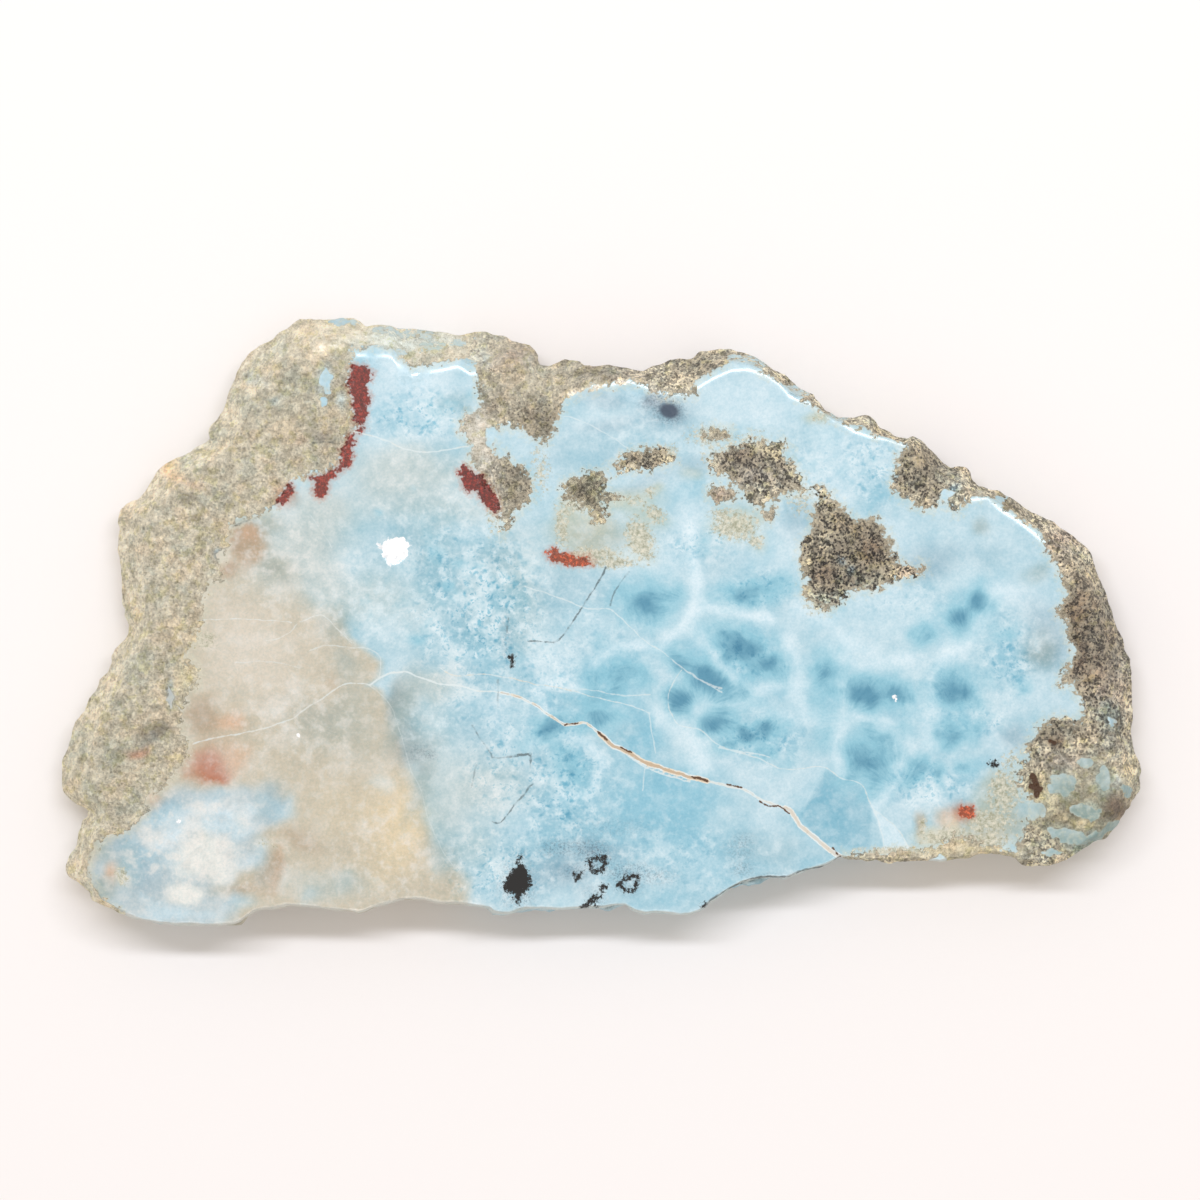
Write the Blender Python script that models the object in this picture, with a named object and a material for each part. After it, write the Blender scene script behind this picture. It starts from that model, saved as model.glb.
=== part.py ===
# Larimar slab: one sawn slice of blue larimar in its grey-brown matrix rock.
# It lies on its sawn back, with the polished face up. +X runs along its length,
# +Y to the edge at the photograph's top, +Z up. The origin is under the middle
# of the outline, on the surface that the slab rests on.

import math

import bmesh
import bpy
from mathutils import Vector, noise
from mathutils.geometry import delaunay_2d_cdt

MM = 0.001

# Driving dimensions of the stone
LENGTH = 152 * MM
THICKNESS = 12 * MM
POLISH_RADIUS = 5.5 * MM
POLISH_WIDTH = 2.0 * MM
LOWER_LIP = 0.7 * MM
LIP_CLEARANCE = 0.3 * MM

# Relief of the faces
STATION_STEP = 1.25 * MM
LUMP_SIZE = 4.8 * MM
LUMP_HEIGHT = 0.8 * MM
RIM_ROUGHNESS = 0.12 * MM
LUMP_CONTRAST = 1.5
FINE_LUMPS = 2.3
FINE_OFFSET = Vector((7, 3, 5))
OUTWARD_REACH = 3
PATCH_STEP = 1.7 * MM
PATCH_LUMP_SIZE = 2.6 * MM
PATCH_LEDGE = 0.9 * MM
PATCH_RELIEF = 0.8
PATCH_GRID_WOBBLE = 0.25
EDGE_CLEARANCE = 1.0 * MM
FISSURE_WIDTH = 0.5 * MM
FISSURE_DEPTH = 0.5 * MM
CHIP_DEPTH = 0.35 * MM
VUG_DEPTH = 0.9 * MM

# Where the rings of a section lie: on the slope from the lip to the widest line, and
# under it, as parts of the way in to the back's edge and of the widest line's height
SLOPE_PARTS = (0.26, 0.53, 0.79)
UNDERSIDE_PARTS = ((0.12, 0.76), (0.4, 0.48), (0.72, 0.22))

# How far a lump moves a ring, as parts of the slope or the underside that it is on
SLOPE_SHIFT = 0.15
SLOPE_LEDGE = 0.2
UNDERSIDE_SHIFT = 0.22
UNDERSIDE_LEDGE = 0.08
BACK_EDGE_RAGGED = 0.12

# The photograph looks straight down, so a pixel of it is a place in plan.
# Low points look a little nearer to its middle, by how far off the eye is.
OUTLINE_PIXELS = 1080
PHOTO_MIDDLE = 600
EYE_HEIGHT = 800 * MM
MEAN_RIM_HEIGHT = 4.8 * MM
PIXEL = LENGTH / OUTLINE_PIXELS * (EYE_HEIGHT - THICKNESS) / (EYE_HEIGHT - MEAN_RIM_HEIGHT)
OUTLINE_CENTRE = Vector((0.19 * MM, -2.93 * MM))

# The sides of the stone, clockwise from the top left corner. Each has the height of
# its widest line and how far the back lies inside it, both in mm at the side's start,
# then the widest line and the edge of the flat face, as photo pixels. The lower edge
# has no face line: the face reaches the outline there.
SIDES = (
    (
        "crown", 4.6, 2.0,
        ((300, 319), (320, 320), (345, 318), (360, 321), (366, 327), (380, 325), (397, 329),
         (425, 330), (448, 333)),
        ((303, 367), (318, 351), (332, 351), (345, 357), (358, 361), (373, 360), (392, 362),
         (398, 371), (412, 381), (428, 378), (446, 375)),
    ),
    (
        "notch", 4.8, 2.0,
        ((448, 333), (458, 336), (473, 332), (495, 334), (512, 341), (530, 345), (538, 355),
         (541, 366), (558, 364), (572, 361), (580, 362)),
        ((446, 375), (458, 372), (470, 380), (486, 376), (500, 372), (516, 376), (530, 388),
         (545, 398), (560, 403), (573, 400), (584, 394)),
    ),
    (
        "saddle", 5.5, 1.8,
        ((580, 362), (592, 366), (607, 364), (622, 368), (643, 371), (655, 365), (675, 359),
         (687, 359)),
        ((584, 394), (592, 391), (612, 390), (632, 387), (645, 392), (660, 398), (676, 400),
         (690, 399)),
    ),
    (
        "hump", 5.2, 2.0,
        ((687, 359), (703, 352), (722, 349), (738, 352), (757, 359), (772, 368), (787, 380),
         (800, 390), (813, 395), (815, 400)),
        ((690, 399), (702, 391), (713, 384), (730, 376), (746, 375), (764, 381), (776, 389),
         (786, 402), (800, 407), (812, 410)),
    ),
    (
        "upper right slope", 6.8, 1.8,
        ((815, 400), (825, 410), (838, 417), (865, 415), (878, 427), (895, 435), (913, 436)),
        ((812, 410), (825, 421), (836, 428), (850, 437), (866, 442), (885, 444), (903, 450)),
    ),
    (
        "right slope", 5.8, 2.0,
        ((913, 436), (925, 444), (940, 459), (951, 468), (970, 473), (978, 487), (1000, 491)),
        ((903, 450), (908, 462), (918, 474), (932, 488), (950, 494), (966, 506), (985, 504),
         (995, 515)),
    ),
    (
        "right shoulder", 5.5, 2.0,
        ((1000, 491), (1015, 502), (1035, 514), (1060, 528), (1080, 541), (1090, 553),
         (1101, 583)),
        ((995, 515), (1010, 525), (1025, 537), (1040, 550), (1056, 563), (1068, 582),
         (1077, 598)),
    ),
    (
        "right side", 5.0, 2.2,
        ((1101, 583), (1113, 617), (1124, 648), (1131, 670), (1131, 700), (1131, 730),
         (1136, 755), (1141, 770)),
        ((1077, 598), (1086, 620), (1090, 645), (1093, 670), (1096, 700), (1098, 730),
         (1104, 755), (1110, 778)),
    ),
    (
        "lower right corner", 4.8, 2.4,
        ((1141, 770), (1139, 788), (1131, 804), (1117, 826), (1105, 838), (1078, 852),
         (1055, 864)),
        ((1110, 778), (1109, 795), (1103, 812), (1094, 824), (1082, 834), (1066, 845),
         (1051, 856)),
    ),
    (
        "lower edge", 10.7, 4.2,
        ((1055, 864), (1035, 862), (1010, 857), (990, 852), (970, 857), (940, 862), (905, 861),
         (870, 860), (840, 857), (825, 866), (795, 875), (770, 878), (742, 883), (722, 895),
         (700, 912), (680, 916), (655, 913), (636, 912), (615, 906), (575, 909), (525, 909),
         (510, 914), (490, 909), (455, 904), (420, 900), (390, 903), (372, 909), (358, 914),
         (325, 910), (290, 906), (272, 909), (255, 912), (235, 925), (205, 926), (175, 925),
         (143, 921), (125, 914)),
        None,
    ),
    (
        "lower left corner", 10.4, 4.2,
        ((125, 914), (107, 907), (92, 900), (85, 888), (73, 880), (67, 870)),
        ((126, 908), (118, 902), (112, 896), (108, 888), (104, 880), (101, 870)),
    ),
    (
        "left foot", 5.2, 2.4,
        ((67, 870), (72, 853), (79, 831), (88, 816), (89, 810), (71, 800), (63, 787), (61, 770)),
        ((101, 870), (103, 855), (109, 838), (116, 825), (119, 814), (113, 802), (106, 788),
         (103, 770)),
    ),
    (
        "left slope", 4.6, 2.2,
        ((61, 770), (64, 755), (72, 731), (85, 711), (95, 691), (100, 679), (111, 664),
         (115, 650), (129, 633)),
        ((103, 770), (107, 750), (115, 725), (126, 703), (134, 688), (141, 676), (148, 662),
         (156, 648), (163, 628)),
    ),
    (
        "left waist", 4.4, 2.0,
        ((129, 633), (129, 625), (124, 600), (121, 570), (117, 549), (120, 530), (118, 517)),
        ((163, 628), (163, 618), (159, 590), (158, 570), (157, 552), (158, 538), (163, 520)),
    ),
    (
        "left shoulder", 4.4, 2.0,
        ((118, 517), (128, 505), (144, 494), (152, 480), (160, 468), (180, 457), (198, 447),
         (210, 439), (209, 433)),
        ((163, 520), (172, 507), (184, 494), (196, 482), (208, 474), (222, 465), (236, 457),
         (247, 448), (250, 443)),
    ),
    (
        "upper left slope", 4.6, 2.2,
        ((209, 433), (216, 422), (227, 399), (236, 374), (243, 361), (258, 346), (274, 339),
         (290, 326), (300, 319)),
        ((250, 443), (256, 432), (264, 412), (272, 395), (278, 384), (286, 374), (293, 370),
         (299, 368), (303, 367)),
    ),
)

# Rough matrix rock in the polished face, as a depth in mm and a closed line of photo
# pixels. Those at the rim are closed outside the stone.
PATCHES = (
    (
        "left matrix", 0.35,
        ((352, 350), (350, 405), (355, 425), (343, 455), (320, 473), (290, 482), (275, 505),
         (240, 520), (225, 545), (220, 580), (203, 592), (200, 620), (190, 650), (199, 680),
         (181, 705), (180, 727), (190, 748), (170, 778), (148, 795), (147, 812), (122, 833),
         (92, 850), (86, 875), (100, 903), (40, 940), (20, 760), (60, 480), (200, 380),
         (260, 300), (352, 300)),
    ),
    (
        "drip matrix", 0.35,
        ((478, 382), (483, 402), (465, 415), (462, 433), (472, 447), (472, 465), (490, 490),
         (500, 518), (503, 535), (520, 505), (533, 490), (522, 468), (500, 460), (488, 430),
         (515, 426), (545, 443), (555, 425), (562, 405), (600, 340), (470, 320)),
    ),
    (
        "olive patch", 0.2,
        ((563, 483), (580, 478), (585, 471), (605, 473), (603, 490), (620, 500), (600, 505),
         (606, 522), (598, 527), (590, 512), (575, 500), (563, 495)),
    ),
    (
        "tan streak", 0.15,
        ((614, 465), (630, 452), (652, 447), (676, 460), (652, 467), (628, 472)),
    ),
    (
        "brown cluster", 0.25,
        ((713, 455), (730, 448), (750, 435), (765, 442), (785, 440), (792, 460), (808, 490),
         (780, 497), (762, 508), (748, 497), (735, 482), (712, 470)),
    ),
    (
        "grey island", 0.4,
        ((815, 487), (828, 495), (850, 518), (878, 520), (893, 550), (907, 565), (925, 567),
         (895, 580), (865, 590), (828, 610), (812, 603), (803, 588), (801, 550), (812, 520)),
    ),
    (
        "edge patch", 0.35,
        ((905, 430), (895, 465), (892, 490), (918, 507), (940, 500), (955, 512), (975, 506),
         (970, 470)),
    ),
    (
        "right matrix", 0.35,
        ((1045, 530), (1057, 568), (1070, 598), (1058, 612), (1075, 650), (1060, 680),
         (1083, 710), (1062, 720), (1030, 743), (1018, 772), (1030, 800), (1070, 812),
         (1160, 800), (1160, 600), (1080, 500)),
    ),
)

# The open crack across the face, the chip and the dark hole in the right matrix
FISSURE = (
    (500, 692), (530, 702), (550, 716), (583, 723), (600, 733), (613, 746), (645, 762),
    (690, 777), (730, 786), (762, 800), (792, 812), (815, 838),
)
CHIP = ((378, 545), (390, 538), (402, 538), (409, 548), (402, 562), (389, 563))
CHIP_CENTRE = (395, 551)
VUG = ((1027, 779), (1033, 772), (1041, 776), (1043, 786), (1036, 792), (1028, 788))
VUG_CENTRE = (1035, 782)

STONE_COLOUR = (0.28, 0.58, 0.68, 1)
STONE_ROUGHNESS = 0.3


def clear_scene():
    for thing in list(bpy.data.objects):
        bpy.data.objects.remove(thing, do_unlink=True)


def stone_material():
    """Polished larimar: one pale blue, semi-gloss stone."""
    material = bpy.data.materials.new("polished_larimar")
    material.use_nodes = True
    shader = material.node_tree.nodes["Principled BSDF"]
    shader.inputs["Base Color"].default_value = STONE_COLOUR
    shader.inputs["Roughness"].default_value = STONE_ROUGHNESS
    shader.inputs["Metallic"].default_value = 0
    return material


def plan(pixel, height=THICKNESS):
    """The place in plan of what the photograph shows at a pixel, at this height on the stone."""
    scale = PIXEL * (EYE_HEIGHT - height) / (EYE_HEIGHT - THICKNESS)
    seen = Vector((pixel[0] - PHOTO_MIDDLE, PHOTO_MIDDLE - pixel[1]))
    return seen * scale - OUTLINE_CENTRE


def resampled(points, count):
    """Evenly spaced places along a line, from its first point up to the step before its last."""
    points = [Vector(point) for point in points]
    runs = [(b - a).length for a, b in zip(points, points[1:])]
    places = []
    for index in range(count):
        along = sum(runs) * index / count
        run = 0
        while along > runs[run]:
            along -= runs[run]
            run += 1
        places.append(points[run].lerp(points[run + 1], along / runs[run]))
    return places


def line_length(points):
    return sum((Vector(b) - Vector(a)).length for a, b in zip(points, points[1:]))


def lumps(place, size=LUMP_SIZE):
    """Smooth noise from -1 to 1, with a finer part on a coarse one."""
    place = place / size
    both = noise.noise(place) + 0.5 * noise.noise(place * FINE_LUMPS + FINE_OFFSET)
    return max(-1, min(1, LUMP_CONTRAST * both))


def distance_to_line(place, points):
    """How far a place in plan is from a line of places."""
    nearest = math.inf
    for start, end in zip(points, points[1:]):
        run = end - start
        along = max(0, min(1, (place - start).dot(run) / run.length_squared))
        nearest = min(nearest, (place - start - run * along).length)
    return nearest


def distance_to_outline(place, points):
    return distance_to_line(place, points + points[:1])


def is_inside(place, points):
    """Whether a place in plan lies in a closed line, by how often a ray crosses it."""
    inside = False
    for start, end in zip(points, points[1:] + points[:1]):
        if (start.y > place.y) != (end.y > place.y):
            across = (place.y - start.y) / (end.y - start.y)
            if place.x < start.x + (end.x - start.x) * across:
                inside = not inside
    return inside


def in_metres(patches):
    return [(depth * MM, [plan(pixel) for pixel in pixels]) for _, depth, pixels in patches]


def face_height(place, patches):
    """The polished face is flat, and the matrix in it lies lower, with lumps and pits."""
    for depth, outline in patches:
        if is_inside(place, outline):
            ledge = min(1, distance_to_outline(place, outline) / PATCH_LEDGE)
            relief = 1 + PATCH_RELIEF * lumps(place.to_3d(), PATCH_LUMP_SIZE)
            return THICKNESS - depth * ledge * relief
    return THICKNESS


def stations():
    """Matched places on the widest line and the face's edge, all round the stone."""
    found = []
    for index, (_, height, inset, rim, face) in enumerate(SIDES):
        _, next_height, next_inset, _, _ = SIDES[(index + 1) % len(SIDES)]
        count = max(3, round(line_length(rim) * PIXEL / STATION_STEP))
        rims = resampled(rim, count)
        faces = resampled(face, count) if face else [None] * count
        for step in range(count):
            part = step / count
            found.append(
                {
                    "rim_height": (height + (next_height - height) * part) * MM,
                    "inset": (inset + (next_inset - inset) * part) * MM,
                    "rim_pixel": rims[step],
                    "face_pixel": faces[step],
                }
            )
    for station in found:
        station["rim"] = plan(station["rim_pixel"], station["rim_height"])
    add_outward(found)
    for station in found:
        if station["face_pixel"]:
            station["face"] = plan(station["face_pixel"])
        else:
            station["face"] = plan(station["rim_pixel"]) - station["outward"] * LOWER_LIP
    return found


def add_outward(found):
    """The way out of the stone at each station, smoothed over its neighbours."""
    for index, station in enumerate(found):
        ahead = found[(index + OUTWARD_REACH) % len(found)]["rim"]
        along = (ahead - found[index - OUTWARD_REACH]["rim"]).normalized()
        station["outward"] = Vector((-along.y, along.x))


def section(station, patches):
    """The stone's section at a station, from the face's edge over the rim to the back's edge."""
    points = lip(station, patches)
    rim, outward = station["rim"], station["outward"]
    shoulder = points[-1]
    rim_height = station["rim_height"] + LUMP_HEIGHT * lumps(rim.to_3d())
    rim_height = min(rim_height, shoulder.z - LIP_CLEARANCE)
    rim += outward * RIM_ROUGHNESS * lumps(rim.to_3d(), LUMP_SIZE / 2)
    widest = rim.to_3d() + Vector((0, 0, rim_height))
    for part in SLOPE_PARTS:
        place = shoulder.lerp(widest, part)
        bump = lumps(place)
        across = outward * min(LUMP_HEIGHT, (widest - shoulder).to_2d().length * SLOPE_SHIFT) * bump
        fall = (rim_height - shoulder.z) * SLOPE_LEDGE * bump
        points.append(place + Vector((*across, fall)))
    points.append(widest)
    for part, level in UNDERSIDE_PARTS:
        place = (rim - outward * station["inset"] * part).to_3d()
        place.z = rim_height * level
        bump = lumps(place)
        place += outward.to_3d() * station["inset"] * UNDERSIDE_SHIFT * bump
        points.append(place + Vector((0, 0, rim_height * UNDERSIDE_LEDGE * bump)))
    ragged = 1 + BACK_EDGE_RAGGED * lumps(rim.to_3d(), LUMP_SIZE / 2)
    points.append((rim - outward * station["inset"] * ragged).to_3d())
    return points


def lip(station, patches):
    """The polished face's edge and the rounding outside it."""
    face = station["face"]
    gap = (station["rim"] - face).length
    away = (station["rim"] - face) / gap
    top = face_height(face, patches)
    width = min(POLISH_WIDTH, gap / 2)
    points = []
    for reach in (0, width / 2, width):
        drop = reach * reach / (2 * POLISH_RADIUS)
        points.append((face + away * reach).to_3d() + Vector((0, 0, top - drop)))
    return points


def patch_points(edge, patches):
    """Places for the matrix's pits and lumps: an uneven grid inside each patch."""
    found = []
    row_step = PATCH_STEP * math.sqrt(3) / 2
    columns, rows = int(LENGTH / PATCH_STEP), int(LENGTH / row_step)
    for row in range(-rows // 2, rows // 2):
        for column in range(-columns // 2, columns // 2):
            place = Vector(((column + row % 2 / 2) * PATCH_STEP, row * row_step))
            wobble = noise.noise_vector(place.to_3d() / LUMP_HEIGHT)
            place += wobble.to_2d() * PATCH_STEP * PATCH_GRID_WOBBLE
            if clear_of_edge(place, edge) and any(is_well_inside(place, p) for _, p in patches):
                found.append(place)
    return found


def clear_of_edge(place, edge):
    return is_inside(place, edge) and distance_to_outline(place, edge) > EDGE_CLEARANCE


def is_well_inside(place, outline):
    return is_inside(place, outline) and distance_to_outline(place, outline) > PATCH_LEDGE / 2


def add_border(places, edges, outline, edge):
    """Adds a patch's border to the face's net, in short runs, where it is clear of the edge."""
    line = outline + outline[:1]
    line = resampled(line, round(line_length(line) / PATCH_STEP))
    numbers = []
    for place in line:
        inside = clear_of_edge(place, edge)
        numbers.append(len(places) if inside else None)
        if inside:
            places.append(place)
    for start, end in zip(numbers, numbers[1:] + numbers[:1]):
        if start is not None and end is not None:
            edges.append((start, end))


def fissure_lines():
    """The crack's middle and its two sides, which meet it at both ends."""
    middle = [plan(pixel) for pixel in FISSURE]
    sides = ([], [])
    for index in range(1, len(middle) - 1):
        along = (middle[index + 1] - middle[index - 1]).normalized()
        across = Vector((-along.y, along.x)) * FISSURE_WIDTH / 2
        sides[0].append(middle[index] + across)
        sides[1].append(middle[index] - across)
    return middle, *sides


def face_net(edge, patches):
    """The face's places and lines: its edge, matrix borders, crack, chip and hole."""
    places = [place.copy() for place in edge]
    edges = [(index, (index + 1) % len(edge)) for index in range(len(edge))]
    for _, outline in patches:
        add_border(places, edges, outline, edge)
    middle, left, right = fissure_lines()
    for line in (middle, [middle[0], *left, middle[-1]], [middle[0], *right, middle[-1]]):
        start = len(places)
        places += line
        edges += [(start + step, start + step + 1) for step in range(len(line) - 1)]
    for pixels, centre in ((CHIP, CHIP_CENTRE), (VUG, VUG_CENTRE)):
        start = len(places)
        places += [plan(pixel) for pixel in pixels]
        edges += [(start + step, start + (step + 1) % len(pixels)) for step in range(len(pixels))]
        places.append(plan(centre))
    return places + patch_points(edge, patches), edges


def net_height(place, patches):
    """The height of the face at a place, with its crack, chip and hole."""
    height = face_height(place, patches)
    if distance_to_line(place, fissure_lines()[0][1:-1]) < FISSURE_WIDTH / 4:
        height -= FISSURE_DEPTH
    for centre, depth in ((CHIP_CENTRE, CHIP_DEPTH), (VUG_CENTRE, VUG_DEPTH)):
        if (place - plan(centre)).length < PIXEL:
            height -= depth
    return height


def add_face(bm, corners, patches):
    """Fills the polished face between its edge's corners."""
    edge = [corner.co.to_2d() for corner in corners]
    places, edges = face_net(edge, patches)
    found, _, faces, sources, _, _ = delaunay_2d_cdt(places, edges, [], 1, 1e-6)
    made = []
    for place, origins in zip(found, sources):
        on_edge = [index for index in origins if index < len(corners)]
        if on_edge:
            made.append(corners[on_edge[0]])
        else:
            place = Vector(place)
            made.append(bm.verts.new((*place, net_height(place, patches))))
    for face in faces:
        bm.faces.new([made[index] for index in face])


def add_back(bm, corners):
    """Fills the flat sawn back."""
    edge = [corner.co.to_2d() for corner in corners]
    edges = [(index, (index + 1) % len(edge)) for index in range(len(edge))]
    _, _, faces, sources, _, _ = delaunay_2d_cdt(edge, edges, [], 1, 1e-6)
    for face in faces:
        bm.faces.new([corners[sources[index][0]] for index in face])


def add_sides(bm, rings):
    """Joins each ring of corners to the next, from the face's edge down to the back's."""
    for upper, lower in zip(rings, rings[1:]):
        for index in range(len(upper)):
            after = (index + 1) % len(upper)
            bm.faces.new((upper[index], upper[after], lower[after], lower[index]))


def build_slab(collection):
    """The whole stone, lofted from its stations, with its face and back filled in."""
    patches = in_metres(PATCHES)
    bm = bmesh.new()
    sections = [section(station, patches) for station in stations()]
    rings = [[bm.verts.new(point) for point in ring] for ring in zip(*sections)]
    add_sides(bm, rings)
    add_face(bm, rings[0], patches)
    add_back(bm, rings[-1])
    bmesh.ops.triangulate(bm, faces=bm.faces[:], quad_method="SHORT_EDGE")
    bmesh.ops.recalc_face_normals(bm, faces=bm.faces[:])
    mesh = bpy.data.meshes.new("larimar_slab")
    bm.to_mesh(mesh)
    bm.free()
    mesh.materials.append(stone_material())
    slab = bpy.data.objects.new("larimar_slab", mesh)
    collection.objects.link(slab)
    return slab


def main():
    clear_scene()
    collection = bpy.data.collections.new("larimar_slab")
    bpy.context.scene.collection.children.link(collection)
    build_slab(collection)


main()
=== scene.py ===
# A slice of blue larimar in its grey-brown matrix rock, lying on its sawn back on a
# pale floor and seen from straight above. The stone is one closed mesh, and what is
# only coloured in it is painted by named marks and fine noise, with nothing raised.

import math

import bpy
import numpy as np
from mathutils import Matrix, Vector, noise
from mathutils.geometry import delaunay_2d_cdt


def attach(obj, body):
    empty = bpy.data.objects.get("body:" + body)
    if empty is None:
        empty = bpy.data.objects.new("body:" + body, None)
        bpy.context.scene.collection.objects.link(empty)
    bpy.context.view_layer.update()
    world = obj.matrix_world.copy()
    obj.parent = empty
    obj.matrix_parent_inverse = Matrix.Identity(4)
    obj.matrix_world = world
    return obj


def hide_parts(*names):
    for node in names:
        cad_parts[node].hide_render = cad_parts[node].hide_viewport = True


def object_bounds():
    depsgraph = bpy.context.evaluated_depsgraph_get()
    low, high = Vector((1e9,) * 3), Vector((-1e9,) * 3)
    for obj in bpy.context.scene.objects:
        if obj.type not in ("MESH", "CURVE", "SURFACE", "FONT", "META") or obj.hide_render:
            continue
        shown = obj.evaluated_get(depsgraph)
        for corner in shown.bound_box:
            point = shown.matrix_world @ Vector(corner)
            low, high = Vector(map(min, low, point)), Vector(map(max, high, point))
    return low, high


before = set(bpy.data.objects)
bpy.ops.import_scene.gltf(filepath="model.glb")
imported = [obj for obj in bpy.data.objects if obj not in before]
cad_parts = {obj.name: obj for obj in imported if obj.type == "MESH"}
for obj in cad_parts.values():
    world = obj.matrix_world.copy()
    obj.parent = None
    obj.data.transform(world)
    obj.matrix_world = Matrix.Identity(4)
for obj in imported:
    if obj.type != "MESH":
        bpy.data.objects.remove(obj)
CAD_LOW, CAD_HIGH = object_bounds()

MM = 0.001

# The stone, and how the photograph's pixels lie on it, as in the CAD source
LENGTH = 152 * MM
THICKNESS = 12 * MM
OUTLINE_PIXELS = 1080
PHOTO_MIDDLE = 600
PHOTO_WIDTH = 1200
EYE_HEIGHT = 800 * MM
MEAN_RIM_HEIGHT = 4.8 * MM
PIXEL = LENGTH / OUTLINE_PIXELS * (EYE_HEIGHT - THICKNESS) / (EYE_HEIGHT - MEAN_RIM_HEIGHT)
OUTLINE_CENTRE = np.array((0.19 * MM, -2.93 * MM))
PIXEL_MM = PIXEL / MM

# Relief of the walls
STATION_STEP = 0.38 * MM
OUTWARD_REACH = 9
POLISH_RADIUS = 5.5 * MM
POLISH_WIDTH = 2.0 * MM
LOWER_LIP = 0.7 * MM
LIP_CLEARANCE = 0.3 * MM
LIP_PARTS = (0, 0.2, 0.4, 0.6, 0.8, 1)
SLOPE_PARTS = tuple(part / 12 for part in range(1, 12))
UNDERSIDE_PARTS = (0.06, 0.12, 0.25, 0.4, 0.56, 0.72, 0.86)
UNDERSIDE_LEVELS = ((0, 1), (0.12, 0.76), (0.4, 0.48), (0.72, 0.22), (1, 0))
LUMP_SIZE = 4.8 * MM
LUMP_HEIGHT = 0.8 * MM
LUMP_CONTRAST = 1.5
FINE_LUMPS = 2.3
FINE_OFFSET = np.array((7, 3, 5))
RIM_ROUGHNESS = 0.12 * MM
SLOPE_SHIFT = 0.15
SLOPE_LEDGE = 0.2
UNDERSIDE_SHIFT = 0.22
UNDERSIDE_LEDGE = 0.08
BACK_EDGE_RAGGED = 0.12
GRAIN_LUMPS = ((2.1 * MM, 0.16 * MM), (0.95 * MM, 0.11 * MM))
BOX_MARGIN = 0.01 * MM

# Relief of the face
FACE_STEP = 0.3 * MM
BACK_STEP = 2.4 * MM
PATCH_LEDGE_MM = 0.8
PATCH_LUMP_SIZE = 2.6 * MM
PATCH_RELIEF = 0.8
LINE_STEP_PIXELS = 2.8
EDGE_CLEARANCE_PIXELS = 4

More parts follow.
